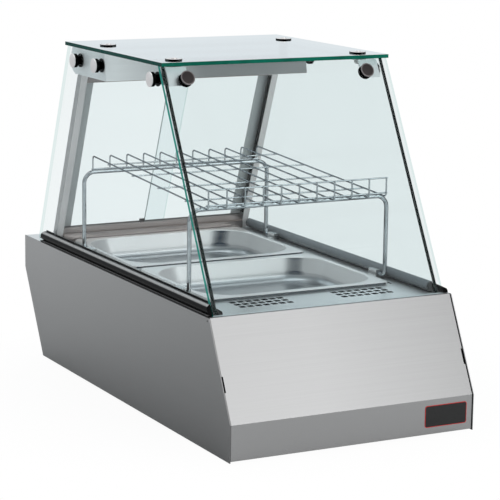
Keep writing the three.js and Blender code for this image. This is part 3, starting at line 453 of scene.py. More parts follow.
def eased(profile, radius, steps=3):
    """A profile with its inner corners rounded off, each by no more than a third of its shorter side."""
    made = [profile[0]]
    points = [Vector(point) for point in profile]
    for before, corner, after in zip(points, points[1:], points[2:]):
        to_before = before - corner
        to_after = after - corner
        cut = min(radius, to_before.length / 3, to_after.length / 3)
        first = corner + to_before.normalized() * cut
        last = corner + to_after.normalized() * cut
        for share in (step / steps for step in range(steps + 1)):
            made.append(tuple(first.lerp(corner, share).lerp(corner.lerp(last, share), share)))
    made.append(profile[-1])
    return made


def across(side, inset):
    """The x of a place that is an inset away from one side of the case."""
    return inset if side == "left" else CASE.wide - inset


FOOT = Sizes(radius=12, high=8.2, ease=1.2, recess=5, deep=1.2, inset=45, back=686.2)
rubber = plain("foot_rubber", rgb(0.015, 0.015, 0.015), 0.8, grain=900.0)
foot_profile = [(0, FOOT.high), *eased([
    (FOOT.radius, FOOT.high), (FOOT.radius, 0), (FOOT.recess, 0), (FOOT.recess, FOOT.deep),
], FOOT.ease), (0, FOOT.deep)]
for end, y in (("front", FOOT.inset), ("back", FOOT.back)):
    for side in ("left", "right"):
        node = side + "_foot_" + end
        piece(node + "_rubber", turned(foot_profile, 40), [rubber], [node],
              place=Matrix.Translation(mm(across(side, FOOT.inset), y, -CASE.foot)))


# The deck is one sheet between the side panels, with punched vent slots at the front and along both sides.
# The heated well hangs under its mouth, and a folded bar with a rib splits the mouth between two pans.

UNDER_AND_EDGES = (DOWNWARD, LEFTWARD, RIGHTWARD, FORWARD, BACKWARD)
# Painted light and shade: the deck is painted lighter to the right, and its underside and the walls of its
# slots and edges are painted black as shade.
deck_steel = brushed_steel("deck_brushed_steel", 0.78, "X", roughness=0.34, contrast=0.03, warmth=-0.01,
                           fades=[("X", 0.0, 0.18, 1.2)],
                           patches=[(direction, 0.4, SHADE_BLACK) for direction in UNDER_AND_EDGES])
dressed("deck", finish=deck_steel)
# The heated well is painted nearly black as the shade under the deck.
dressed("heated_well", finish=brushed_steel("well_steel", 0.02, "X", roughness=0.40))
dressed("pan_divider", finish=brushed_steel("divider_steel", 0.76, "X", roughness=0.30, contrast=0.03))

# The pans are pressed from bright stainless sheet: a wide flat rim with a turned-down hem, a mouth with big
# round corners, and walls that run into the floor in one soft curve. Their reflections are painted into their
# colour: painted dark in two corners and on the hem that faces forward, painted brightest on the right wall,
# bright on the other walls, which are less metallic than steel, and duller on the floor.

PAN = Sizes(left=52.5, right=377.5, front=173, pitch=278, length=265, rim_top=209.5, rim=6, end_more=7,
            depth=40, wall=1.0, corner=12, mouth=60, hem=4.2, lip=2, draft=5, round=14, floor_top=184)


def pan_ring(front, inset, z, corner, more=0.0):
    """A ring of the pan at a height, inset all round and by more at its front and back."""
    near = front + inset + more
    far = front + PAN.length - inset - more
    outline = rounded_rectangle(PAN.left + inset, PAN.right - inset, near, far, corner, 14)
    return [mm(x, y, z) for x, y in outline]


def quarter(steps, first=0):
    """The angles of a quarter turn in equal steps, from the first one on."""
    return [math.radians(90 * step / steps) for step in range(first, steps + 1)]


def pan_side(front, thick):
    """The rings of the pan's inner face from its floor up, or of its outer face, a wall's thickness out."""
    top = PAN.rim_top - thick
    bottom = PAN.rim_top - PAN.depth - thick
    foot = PAN.rim + PAN.lip + PAN.draft - thick
    head = PAN.rim + PAN.lip - thick
    corner = PAN.mouth + thick
    rings = []
    for turn in quarter(8):
        reach = PAN.round * (1 - math.sin(turn))
        rise = PAN.round * (1 - math.cos(turn))
        rings.append(pan_ring(front, foot + reach, bottom + rise, corner - reach, PAN.end_more))
    wall_steps = 6
    for step in range(1, wall_steps + 1):
        share = step / wall_steps
        z = bottom + PAN.round + (top - PAN.lip - bottom - PAN.round) * share
        rings.append(pan_ring(front, foot + (head - foot) * share, z, corner, PAN.end_more))
    for turn in quarter(5, 1):
        inset = head - PAN.lip * (1 - math.cos(turn))
        rings.append(pan_ring(front, inset, top - PAN.lip * (1 - math.sin(turn)), corner, PAN.end_more))
    for turn in quarter(4):
        inset = thick + PAN.wall * (1 - math.sin(turn))
        rings.append(pan_ring(front, inset, top - PAN.wall * (1 - math.cos(turn)), PAN.corner - thick))
    return rings


FAR_CORNER, NEAR_CORNER = (-0.47, -0.88, 0.0), (0.93, -0.37, 0.0)
PAINTED_CORNER_DARK, PAINTED_HEM_DARK = rgb(0.05, 0.07, 0.10), rgb(0.08, 0.09, 0.10)
pan_steel = Finish("pan_steel")
waves = pan_steel.noise((16.0, 16.0, 16.0), 2.0)
scuffs = pan_steel.noise((420.0, 420.0, 420.0), 3.0)
waver = (waves - 0.5) * 0.04
# These masks place painted reflections: dark corners, a dark hem, a brighter right wall and a darker floor.
in_far_corner = (pan_steel.facing(FAR_CORNER) + waver).ramp(0.93, 0.97)
in_near_corner = (pan_steel.facing(NEAR_CORNER) + waver).ramp(0.96, 1.0, 0.0, 0.5)
in_corners = in_far_corner.most(in_near_corner)
pan_depth = pan_steel.axis("Y")
at_front_hem, at_back_hem = (
    abs(pan_depth - mm(0, PAN.front + step, 0).y).under(0.001) for step in (0, PAN.pitch))
on_hem = at_front_hem.most(at_back_hem) * pan_steel.looking(FORWARD, 0.9)
on_floor = pan_steel.axis("Z").under(mm(0, 0, PAN.floor_top).z) * pan_steel.facing(UPWARD).ramp(0.05, 0.45)
on_right_wall = pan_steel.facing(LEFTWARD).ramp(0.6, 0.9) * (1.0 - on_floor)
pan_walls = pan_steel.blend(waves, tint(0.80, 0.01), tint(0.92, 0.02))
pan_walls = pan_steel.blend(in_corners, pan_walls, PAINTED_CORNER_DARK)
pan_walls = pan_steel.blend(on_hem, pan_walls, PAINTED_HEM_DARK)
pan_walls = pan_steel.blend(on_right_wall, pan_walls, tint(0.98, 0.02))
pan_floor = pan_steel.blend(waves, rgb(0.30, 0.34, 0.37), rgb(0.50, 0.50, 0.51))
pan_finish = pan_steel.done(pan_steel.surface(
    Base_Color=pan_steel.blend(on_floor, pan_walls, pan_floor),
    Metallic=on_floor.most(in_corners).ramp(0.0, 1.0, 0.55, 1.0) - on_right_wall * 0.35,
    Roughness=waves.ramp(0.3, 0.7, 0.26, 0.34) + scuffs * 0.04,
))
for node, front in (("front_pan", PAN.front), ("back_pan", PAN.front + PAN.pitch)):
    hem = PAN.rim_top - PAN.hem
    hem_rings = [
        pan_ring(front, 0, hem, PAN.corner),
        pan_ring(front, PAN.wall, hem, PAN.corner - PAN.wall),
    ]
    pan_shell = loft(pan_side(front, 0) + hem_rings + pan_side(front, PAN.wall)[::-1])
    piece(node + "_shell", pan_shell, [pan_finish], [node], body=node, crease=50)


# Under the well a sheathed heating element runs to and fro, browned by its heat, with a safety cut-out
# against the well's floor. A terminal block on the bottom plate takes the wires.


def along(corners, bends, steps=8):
    """The path through corners, each inner one rounded to its own radius."""
    points = [Vector(corner) for corner in corners]
    path = points[:1]
    for before, corner, after, bend in zip(points, points[1:], points[2:], bends):
        to_before = (before - corner).normalized()
        to_after = (after - corner).normalized()
        half = to_before.angle(to_after) / 2
        centre = corner + (to_before + to_after).normalized() * bend / math.sin(half)
        first = corner + to_before * bend / math.tan(half) - centre
        last = corner + to_after * bend / math.tan(half) - centre
        turn = first.rotation_difference(last)
        for step in range(steps + 1):
            path.append(centre + Matrix.Rotation(turn.angle * step / steps, 3, turn.axis) @ first)
    return path + points[-1:]


def round_bar(path, radius, sides, ease):
    """A shell of round bar along a path, in millimetres, with eased ends."""
    rings = []
    sideways = (path[1] - path[0]).normalized().orthogonal().normalized()
    for i, point in enumerate(path):
        ahead = (path[min(i + 1, len(path) - 1)] - path[max(i - 1, 0)]).normalized()
        sideways = (sideways - ahead * sideways.dot(ahead)).normalized()
        beside = ahead.cross(sideways)
        widths = [(0.0, radius)]
        if i == 0:
            widths = [(0.0, radius - ease), (ease, radius)]
        if i == len(path) - 1:
            widths = [(-ease, radius), (0.0, radius - ease)]
        for shift, width in widths:
            rings.append([
                mm(*(point + ahead * shift + (sideways * math.cos(turn) + beside * math.sin(turn)) * width))
                for turn in (2 * math.pi * side / sides for side in range(sides))
            ])
    return loft(rings)


ELEMENT = Sizes(radius=4, passes=4, left=109.5, apart=70.333, near=224, far=665, tail=691, high=145,
                slack=0.3)
element_corners = []
for index in range(ELEMENT.passes):
    x = ELEMENT.left + index * ELEMENT.apart
    far = ELEMENT.tail if index in (0, ELEMENT.passes - 1) else ELEMENT.far
    ends = [far, ELEMENT.near] if index % 2 == 0 else [ELEMENT.near, far]
    element_corners += [(x, ends[0], ELEMENT.high), (x, ends[1], ELEMENT.high)]
element_bends = [ELEMENT.apart / 2 - ELEMENT.slack] * (len(element_corners) - 2)
sheath = Finish("heater_sheath")
heat = sheath.noise((9.0, 9.0, 9.0), 3.0).ramp(0.35, 0.65)
sheath_finish = sheath.done(sheath.surface(
    Base_Color=sheath.blend(heat, rgb(0.30, 0.17, 0.10), rgb(0.32, 0.30, 0.30)), Metallic=1.0,
    Roughness=heat.ramp(0, 1, 0.5, 0.35)))
piece("element_bar", round_bar(along(element_corners, element_bends), ELEMENT.radius, 20, 0.6),
      [sheath_finish], ["heating_element"])

black_plastic = plain("black_plastic", rgb(0.022, 0.022, 0.022), 0.45, grain=700.0)
dressed("safety_cutout", "thermostat_body", finish=black_plastic)
dressed("terminal_block", finish=plain("terminal_plastic", rgb(0.40, 0.41, 0.42), 0.5))

# The thermostat's knob is moulded, with a fluted grip on a flat skirt and a white pointer let into its top.
# The dial's marks are printed around it on the back panel's upright strip.

CONTROLS = Sizes(face=814, high=176, knob=110, switch=200, lamp=250, gland=335)


def pointing(place, direction):
    """A placement whose z runs along a direction."""
    return Matrix.Translation(place) @ Vector(direction).to_track_quat("Z", "Y").to_matrix().to_4x4()


def on_strip(x, out=0.0):
    """A placement on the strip that carries the controls, some way out of it."""
    return pointing(mm(x, CONTROLS.face + out, CONTROLS.high), BACKWARD)


def reshaped(shell, outline):
    """A turned shell with new radii, which outline gives from the old radius, the turn and the height."""
    vertices, faces = shell
    moved = []
    for vertex in vertices:
        radius = math.hypot(vertex.x, vertex.y) * 1000
        radius_now = outline(radius, math.atan2(vertex.y, vertex.x), vertex.z * 1000)
        moved.append(Vector((vertex.x * radius_now / radius, vertex.y * radius_now / radius, vertex.z)))
    return moved, faces


def fluting(count, turn):
    """Goes from 0 to 1 and back so many times in a full turn."""
    return 0.5 + 0.5 * math.cos(count * turn)


KNOB = Sizes(out=1, radius=20, skirt=4, grip=15.5, long=17.6, bore=3.4, deep=13, flutes=24, flute=0.5,
             taper=0.5, crown=2.5)
knob_profile = eased([
    (0, KNOB.long), (KNOB.grip - KNOB.taper, KNOB.long), (KNOB.grip, KNOB.skirt + 0.4),
    (KNOB.radius, KNOB.skirt - 1.2), (KNOB.radius, 0), (KNOB.bore, 0),
    (KNOB.bore, KNOB.deep), (0, KNOB.deep)], 0.9, 4)


def grip_outline(radius, turn, height):
    """The grip is fluted, and the skirt and the middle of the top are round."""
    if radius > KNOB.grip - KNOB.crown and height > KNOB.skirt + 1.0:
        return radius - KNOB.flute * fluting(KNOB.flutes, turn)
    return radius


def slab(half, near, far, low, high, ease):
    """A shell of a block with eased edges, half its width to each side of y, in its own millimetres."""
    def ring(inset, z):
        corner = max(ease * 2 - inset, ease)
        outline = rounded_rectangle(inset - half, half - inset, near + inset, far - inset, corner, 3)
        return [Vector((x, y, z)) / 1000 for x, y in outline]
    return loft([ring(ease, low), ring(0, low + ease), ring(0, high - ease), ring(ease, high)])


knob_place = on_strip(CONTROLS.knob, KNOB.out)
piece("knob_grip", reshaped(turned(knob_profile, 144), grip_outline), [black_plastic], ["thermostat_knob"],
      body="thermostat_knob", place=knob_place)

POINTER = Sizes(half=1.1, near=5, far=16.2, low=17.2, high=18.0)
pointer_shell = slab(POINTER.half, POINTER.near, POINTER.far, POINTER.low, POINTER.high, 0.2)
piece("knob_pointer", pointer_shell, [plain("white_print", rgb(0.75, 0.75, 0.73), 0.5)],
      body="thermostat_knob", place=knob_place)

MARKS = Sizes(count=11, sweep=270, near=22.5, far=26, half=0.45, thick=0.2, gap=0.02, longer=1.5,
              longer_every=5)
for index in range(MARKS.count):
    turn = math.radians(MARKS.sweep * index / (MARKS.count - 1))
    far = MARKS.far + (MARKS.longer if index % MARKS.longer_every == 0 else 0.0)
    mark = slab(MARKS.half, MARKS.near, far, MARKS.gap, MARKS.thick, 0.05)
    piece("dial_mark_%02d" % index, mark, [black_plastic],
          place=on_strip(CONTROLS.knob) @ Matrix.Rotation(-turn, 4, "Z"))

# The switch is a black housing that snaps into the strip, with a rocker of amber plastic that dips in the
# middle and tips about its pivot.

dressed("switch_housing", finish=black_plastic)
ROCKER = Sizes(wide=20, half=5.8, end=3.6, middle=2.4, under=3.4, tilt=10, sunk=1.5, ease=0.5, steps=8)
rocker_profile = [(-ROCKER.under, -ROCKER.half)] + [
    (ROCKER.middle + (ROCKER.end - ROCKER.middle) * share * share, ROCKER.half * share)
    for share in (step / ROCKER.steps - 1 for step in range(2 * ROCKER.steps + 1))
] + [(-ROCKER.under, ROCKER.half)]


def rocker_ring(inset, x):
    shrink = 1 - inset / ROCKER.half
    return [Vector((x, u - math.copysign(inset, u), v * shrink)) / 1000 for u, v in rocker_profile]


rocker_end = ROCKER.wide / 2
rocker_shell = loft([
    rocker_ring(ROCKER.ease, -rocker_end),
    rocker_ring(0, ROCKER.ease - rocker_end),
    rocker_ring(0, rocker_end - ROCKER.ease),
    rocker_ring(ROCKER.ease, rocker_end),
])
rocker_place = (Matrix.Translation(mm(CONTROLS.switch, CONTROLS.face - ROCKER.sunk, CONTROLS.high))
                @ Matrix.Rotation(-math.radians(ROCKER.tilt), 4, "X"))
amber = Finish("amber_lens")
glow = amber.noise((250.0, 250.0, 250.0), 2.0)
amber_finish = amber.done(amber.surface(
    Base_Color=amber.blend(glow, rgb(0.70, 0.20, 0.015), rgb(0.85, 0.34, 0.04)),
    Roughness=0.16 + glow * 0.08, Coat_Weight=0.5))
piece("rocker_cap", rocker_shell, [amber_finish], ["rocker_switch"], body="rocker_switch",
      place=rocker_place)

# The pilot lamp is a low amber dome in a bright bezel, whose barrel goes through the strip. The cable gland
# is a moulded nut with a ribbed dome, made to grip a mains lead.

LAMP = Sizes(bezel=7, rim=1.5, body=4.5, deep=16, dome=4.8, high=2.6, gap=0.3, steps=8, sides=40)
bright_metal = plain("bright_metal", rgb(0.62, 0.63, 0.64), 0.18, 1.0, grain=500.0)
lamp_profile = [(0, LAMP.rim + LAMP.high)] + [
    (LAMP.dome * math.sin(turn), LAMP.rim + LAMP.high * math.cos(turn))
    for turn in quarter(LAMP.steps, 1)
] + eased([(LAMP.dome, LAMP.rim), (LAMP.bezel, LAMP.rim), (LAMP.bezel, LAMP.gap),
           (LAMP.body, LAMP.gap), (LAMP.body, -LAMP.deep), (0, -LAMP.deep)], 0.6)[1:]
lamp_bands = [0 if band < LAMP.steps - 1 else 1 for band in range(len(lamp_profile) - 3)]
piece("lamp_lens", turned(lamp_profile, LAMP.sides), [amber_finish, bright_metal], ["pilot_lamp"],
      place=on_strip(CONTROLS.lamp),
      picks=[band for band in lamp_bands for side in range(LAMP.sides)] + [0, 1])

GLAND = Sizes(nut=10.4, flats=9.5, thick=6, dome=8, taper=1.5, long=15, thread=6.2, inside=11, bore=3.6,
              ribs=12, rib=0.4, gap=0.3)
gland_profile = eased([
    (GLAND.bore, GLAND.long), (GLAND.dome - GLAND.taper, GLAND.long),
    (GLAND.dome, GLAND.thick), (GLAND.nut, GLAND.thick), (GLAND.nut, GLAND.gap),
    (GLAND.thread, GLAND.gap), (GLAND.thread, -GLAND.inside), (GLAND.bore, -GLAND.inside),
    (GLAND.bore, GLAND.long)], 0.8)


def hexagon(inner, turn):
    """The radius of a hexagon at a turn, from the radius of the circle that fits in it."""
    return inner / math.cos(turn % (math.pi / 3) - math.pi / 6)


def gland_outline(radius, turn, height):
    """The nut has flats, the dome in front of it has ribs, and the thread and the bore are round."""
    if radius > GLAND.dome + 0.5:
        return min(radius, hexagon(GLAND.flats, turn))
    if radius > GLAND.thread + 0.3 and height > GLAND.thick:
        return radius - GLAND.rib * fluting(GLAND.ribs, turn)
    return radius


piece("gland_body", reshaped(turned(gland_profile[:-1], 72), gland_outline), [black_plastic], ["cable_gland"],
      place=on_strip(CONTROLS.gland))

# The side panes stand between two rails on the deck. One extrusion serves both: its tall rounded part stands
# on the left of each pane, and its low foot on the right. All are black but the right pane's rounded part,
# which is grey.

GLASS_HIGH = 356.8
FRONT_FOOT, FRONT_SLOPE = 79.5, 192 / GLASS_HIGH
DECK, PANE, TOUCH = 205.0, 6.0, 0.3


def front_face(z):
    """How far back the front glass's outer face is at a height."""
    return FRONT_FOOT + FRONT_SLOPE * (z - DECK)


def front_inner(z):
    """How far back a piece starts that stands just behind the front glass."""
    return front_face(z) + (PANE + TOUCH) * math.hypot(1, FRONT_SLOPE)


OUTER = Sizes(edge=1.5, base=2, bulge=7.5, lip=1.8, lip_high=2, face=15.2, end=745, glass=10.2, shy=0.1)
LOW = Sizes(high=13, low=6, round=2, inner_high=9.5, inner_low=4.5, face=21.8, width=8.6, end=719)
low = DECK + TOUCH
rail_lip = OUTER.face - OUTER.lip
bulge_x = rail_lip - OUTER.bulge / 2
bulge_z = low + OUTER.base + OUTER.bulge
rail_top = bulge_z + OUTER.bulge + OUTER.lip_high
on_face = (OUTER.face, low + 1)
tall_profile = (
    eased([on_face, (OUTER.face, rail_top), (rail_lip, rail_top),
           (rail_lip, rail_top - OUTER.lip_high)], 0.5, 2)[1:]
    + arc((bulge_x, bulge_z), OUTER.bulge, 90, 270, 20)
    + eased([(bulge_x, low + OUTER.base), (OUTER.edge, low + OUTER.base), (OUTER.edge, low),
             (OUTER.face, low), on_face], 0.5, 2)[1:-1]
)


def low_profile(face, edge, high, foot):
    """A low foot beside the glass, from its face to its outer edge, with its corners rounded."""
    outline = [(face, low), (face, low + high), (edge, low + foot), (edge, low), (face, low), (face, low + 1)]
    return eased(outline, LOW.round)[1:-1]


def rail_front(x, z):
    """How far back a rail starts: behind the front glass, or under its foot where it passes beside it."""
    if min(x, CASE.wide - x) < OUTER.glass:
        return front_face(z) + OUTER.shy
    return front_inner(z)


satin_black = Finish("satin_black")
dust = satin_black.noise((900.0, 40.0, 900.0), 3.0)
satin_dark = satin_black.blend(dust.ramp(0.4, 0.8), rgb(0.003, 0.003, 0.003), rgb(0.012, 0.012, 0.013))
# A painted grey highlight runs along the upper left of each black rail.
painted_grey_highlight = satin_black.facing((-0.5, 0.0, 0.87)).ramp(0.90, 0.99)
satin_finish = satin_black.done(satin_black.surface(
    Base_Color=satin_black.blend(painted_grey_highlight, satin_dark, rgb(0.40, 0.40, 0.40)),
    Roughness=0.24 + dust * 0.10, IOR=1.12, Normal=satin_black.bump(dust, 0.00001, 0.3)))
right_foot = [
    (CASE.wide - x, z) for x, z in low_profile(OUTER.face, OUTER.edge, LOW.high, LOW.low)]
left_foot = low_profile(LOW.face, LOW.face + LOW.width, LOW.inner_high, LOW.inner_low)
for node, profile, end in (
        ("left_outer_rail", tall_profile, OUTER.end),
        ("right_outer_rail", right_foot, OUTER.end),
        ("left_inner_rail", left_foot, LOW.end)):
    rings = [[mm(x, rail_front(x, z), z) for x, z in profile], [mm(x, end, z) for x, z in profile]]
    piece(node + "_profile", loft(rings), [satin_finish], [node], crease=50)

INNER = Sizes(face=408.2, thick=8.6, high=17, end=719, cap=3.0, steps=20)
inner_turns = [math.radians(180 * step / INNER.steps - 90) for step in range(INNER.steps + 1)]
inner_profile = [
    (INNER.face - INNER.thick * math.cos(turn), low + INNER.high / 2 * (1 + math.sin(turn)))
    for turn in inner_turns]
inner_start = front_inner(low + INNER.high)
inner_rings = [
    [mm(x, y, z) for x, z in inner_profile] for y in (inner_start, inner_start + INNER.cap, INNER.end)]
grey_rail = Finish("dark_rail")
drawn_lines = grey_rail.noise((1500.0, 6.0, 1500.0), 3.0)
grey_side = grey_rail.blend(drawn_lines, rgb(0.125, 0.145, 0.16), rgb(0.175, 0.195, 0.21))
# The rail's faces that turn down are painted nearly black as shade.
turned_up = grey_rail.facing(UPWARD).ramp(-0.5, 0.1)
grey_finish = grey_rail.done(grey_rail.surface(
    Base_Color=grey_rail.blend(turned_up, rgb(0.015, 0.020, 0.028), grey_side),
    Roughness=0.36 + drawn_lines * 0.1))
piece("right_inner_rail_profile", loft(inner_rings), [grey_finish, black_plastic], ["right_inner_rail"],
      picks=[1] * len(inner_profile) + [0] * len(inner_profile) + [1, 0], crease=50)

# The panes are clear float glass, 6 mm thick. Their faces let nearly all light through and mirror a little
# more as the eye comes round to their edges, which are ground smooth and look green where they are long.


def glass_pane(name, face, edges, glare=0.45, clarity=rgb(0.950, 0.972, 0.974), inner=None):
    """A pane's finish, from the direction that its faces look in.

    edges gives a colour for each direction that an edge faces, the first one for all the others. Edges seen
    from inside the pane are nearly clear, apart from those that face the inner direction, which have its
    colour.
    """
    finish = Finish(name)
    on_faces = abs(finish.facing(face)).over(0.7)
    slant = finish.node("ShaderNodeLayerWeight", None, {"Blend": 0.5}, "Facing")
    glint = 0.008 + slant.math("POWER", slant, 5.0) * glare
    clear = finish.node("ShaderNodeBsdfTransparent", None, {"Color": clarity})
    mirror = finish.surface(Base_Color=rgb(0.97, 0.99, 1.0), Metallic=1.0, Roughness=0.02)
    depth = finish.noise((30.0, 30.0, 30.0)).ramp(0.35, 0.65)
    colour = edges[0][1]
    for direction, edge_colour in edges[1:]:
        colour = finish.blend(finish.looking(direction), colour, edge_colour)
    colour = finish.blend(depth * 0.35, colour, rgb(0.0, 0.02, 0.015))
    edge = finish.surface(Base_Color=colour, Roughness=0.25 + depth * 0.1, IOR=1.12)
    pale = finish.node("ShaderNodeBsdfTransparent", None, {"Color": rgb(0.80, 0.88, 0.87)})
    if inner:
        direction, inner_colour = inner
        frosted = finish.surface(Base_Color=inner_colour, Roughness=0.3 + depth * 0.1)
        pale = finish.mixed(finish.looking(direction), pale, frosted)
    from_inside = finish.node("ShaderNodeNewGeometry", output="Backfacing")
    rim = finish.mixed(from_inside, edge, pale)
    return finish.done(finish.mixed(on_faces, rim, finish.mixed(glint, clear, mirror)))


LEAN_FRONT, LEAN_BACK = (0.0, -0.8806, 0.4739), (0.0, -0.9331, -0.3596)
BLACK_GREEN, NIGHT_GREEN, EMERALD = rgb(0.001, 0.004, 0.004), rgb(0.004, 0.075, 0.06), rgb(0.005, 0.17, 0.11)
TEAL, PALE_EDGE, SLATE = rgb(0.03, 0.42, 0.34), rgb(0.48, 0.52, 0.50), rgb(0.13, 0.21, 0.23)
SMOKED, FROSTED = rgb(0.890, 0.920, 0.922), rgb(0.62, 0.68, 0.70)
# Each pane's edges have a green of their own for each direction they face, lighter or darker for the light
# that falls there: painted light and shade.
dressed("top_glass", finish=glass_pane(
    "top_glass", UPWARD, [(FORWARD, EMERALD), (LEFTWARD, NIGHT_GREEN), (RIGHTWARD, NIGHT_GREEN)], glare=1.5))
dressed("front_glass", finish=glass_pane(
    "front_glass", LEAN_FRONT,
    [(LEFTWARD, TEAL), (RIGHTWARD, EMERALD), (DOWNWARD, SLATE), (UPWARD, NIGHT_GREEN)],
    clarity=SMOKED, inner=(UPWARD, FROSTED)))
dressed(*both("side_glass"), finish=glass_pane(
    "side_glass", RIGHTWARD, [(LEAN_FRONT, BLACK_GREEN), (BACKWARD, PALE_EDGE), (UPWARD, NIGHT_GREEN)]))

# The rear posts are leaning channels of brushed stainless, and the sill and the top track between them hold
# the two doors, which are 4 mm panes, the left one behind the right one. The right one has a dark glide
# block, and a thin black strip stands in the right post as painted shade in its channel.

# Painted light and shade: the faces of the posts that look forward are painted near white and less metallic,
# and those that look left are painted darker.
post_steel = brushed_steel("post_steel", 0.55, "Z", roughness=0.45, warmth=0.02,
                           patches=[(LEAN_BACK, 0.5, tint(0.96, 0.04)), (LEFTWARD, 0.7, tint(0.50, 0.03))],
                           metallic=0.15, dull=LEAN_BACK)
sill_steel = brushed_steel("sill_steel", 0.38, "X", roughness=0.30, contrast=0.20, warmth=0.12,
                           fineness=900.0)
dressed(*both("rear_post"), finish=post_steel)
dressed("door_sill", "top_track", finish=sill_steel)
# The doors' left edges are painted pale as light.
dressed("left_door", "right_door", finish=glass_pane(
    "door_glass", LEAN_BACK, [(LEFTWARD, rgb(0.70, 0.80, 0.78)), (DOWNWARD, NIGHT_GREEN)]))
dressed("right_door_glide", finish=plain("glide_plastic", rgb(0.030, 0.022, 0.018), 0.5))

POST_FOOT, POST_SLOPE = 728, 137.5 / GLASS_HIGH
# A thin black strip in the right post's channel, as painted shade.
SHADE_STRIP = Sizes(left=391, right=402, near=8.0, far=8.8, low=233, high=497)
shade_strip_outline = [(SHADE_STRIP.left, SHADE_STRIP.near), (SHADE_STRIP.right, SHADE_STRIP.near), (SHADE_STRIP.right, SHADE_STRIP.far),
                (SHADE_STRIP.left, SHADE_STRIP.far)]


def post_face(z):
    """How far back the front face of the posts is at a height."""
    return POST_FOOT - POST_SLOPE * (z - DECK)


shade_strip_rings = [[mm(x, post_face(z) + out, z) for x, out in shade_strip_outline] for z in (SHADE_STRIP.low, SHADE_STRIP.high)]
shade_strip_black = plain("shade_strip_black", rgb(0.004, 0.004, 0.004), 0.7, grain=1200.0)
piece("right_post_shade_strip", loft(shade_strip_rings), [shade_strip_black])

# The top beam is a tray of brushed stainless between the side panes, closed by a cheek at each end. Two
# corner brackets of the same sheet join the front, side and top glass.

# Painted light and shade: the beam is painted darker to the right, and its faces that look left are painted
# near white for the light on them.
beam_steel = brushed_steel("beam_steel", 0.85, "X", roughness=0.42, fades=[("X", -0.17, -0.01, 0.33)],
                           patches=[(LEFTWARD, 0.7, tint(0.98))], metallic=0.25)
dressed("top_beam", finish=beam_steel)
bracket_steel = brushed_steel("bracket_steel", 0.70, "X", roughness=0.40, contrast=0.06)
dressed(*both("corner_bracket"), finish=bracket_steel)

# Round clamps hold the panes: a metal cap and a rubber pad outside, a sleeve through the hole, a second pad
# inside, and a stud with a hexagon nut that pulls them against the steel. The front glass has darker caps.

CLAMP = Sizes(cap=12, thick=1.5, pad=6, front_pad=1.5, pad_radius=11.6, sleeve=6.4, inner_pad=2.2, stud=3,
              plate=10.6, nut=5, nut_radius=6, end=2, top_pad=1.8, top_pad_radius=13.6, top_cap=5,
              round=0.5, segments=48)
RIM = Sizes(start=0.0102, end=0.0112)
clamp_rubber = plain("clamp_rubber", rgb(0.001, 0.001, 0.001), 0.6, grain=1200.0, index=1.1)
zinc = plain("zinc_plate", rgb(0.55, 0.55, 0.53), 0.3, 1.0, grain=800.0)


def turned_metal(name, darker, lighter, roughness, rim=None):
    """A cap's metal, with a lathe's fine rings about its middle. Its rim can have a colour of its own."""
    finish = Finish(name)
    rings = {"W": finish.distance() * 2600.0, "Scale": 1.0}
    marks = finish.node("ShaderNodeTexNoise", {"noise_dimensions": "1D"}, rings)
    colour = finish.blend(marks, darker, lighter)
    if rim:
        colour = finish.blend(finish.distance().ramp(RIM.start, RIM.end), colour, rim)
    return finish.done(finish.surface(
        Base_Color=colour, Metallic=1.0, Roughness=roughness + marks * 0.10))


bright_cap = turned_metal("turned_cap", tint(0.78, 0.03), tint(0.90, 0.03), 0.30)
dark_cap = turned_metal("dark_cap", rgb(0.028, 0.024, 0.024), rgb(0.050, 0.044, 0.044), 0.34,
                        rim=rgb(0.18, 0.165, 0.165))


def nut_outline(radius, turn, height):
    """The nut is a hexagon, and all the rest of a clamp is round."""
    if height < -CLAMP.plate + 0.1 and radius > CLAMP.stud + 1:
        return hexagon(CLAMP.nut_radius * math.cos(math.pi / 6), turn)
    return radius


def clamp_shell(pad, cap, pad_radius):
    """A clamp about its own axis, from its outer face in, and the finish of each face."""
    bottom = TOUCH + pad
    top = bottom + CLAMP.thick
    inner_face = -PANE - TOUCH
    inner_pad = inner_face - CLAMP.inner_pad
    nut_end = -CLAMP.plate - CLAMP.nut
    neck = pad_radius - CLAMP.round
    metal = eased([(0, top), (cap, top), (cap, bottom), (neck, bottom)], 0.7, 4)
    pads = eased([(neck, bottom), (pad_radius, bottom), (pad_radius, TOUCH), (CLAMP.sleeve, TOUCH),
                  (CLAMP.sleeve, inner_face), (pad_radius, inner_face), (pad_radius, inner_pad),
                  (CLAMP.stud, inner_pad)], 0.4, 3)[1:]
    stud = [(CLAMP.stud, -CLAMP.plate), (CLAMP.nut_radius, -CLAMP.plate),
            (CLAMP.nut_radius, nut_end), (CLAMP.stud, nut_end), (CLAMP.stud, nut_end - CLAMP.end),
            (0, nut_end - CLAMP.end)]
    profile = metal + pads + stud
    bands = [0] * (len(metal) - 2) + [1] * len(pads)
    bands += [2] * (len(profile) - 3 - len(bands))
    picks = [band for band in bands for side in range(CLAMP.segments)] + [0, 2]
    return reshaped(turned(profile, CLAMP.segments), nut_outline), picks


def clamp(node, shell_and_picks, cap_finish, place, direction):
    shell, picks = shell_and_picks
    piece(node + "_cap", shell, [cap_finish, clamp_rubber, zinc], [node],
          place=pointing(place, direction), picks=picks)


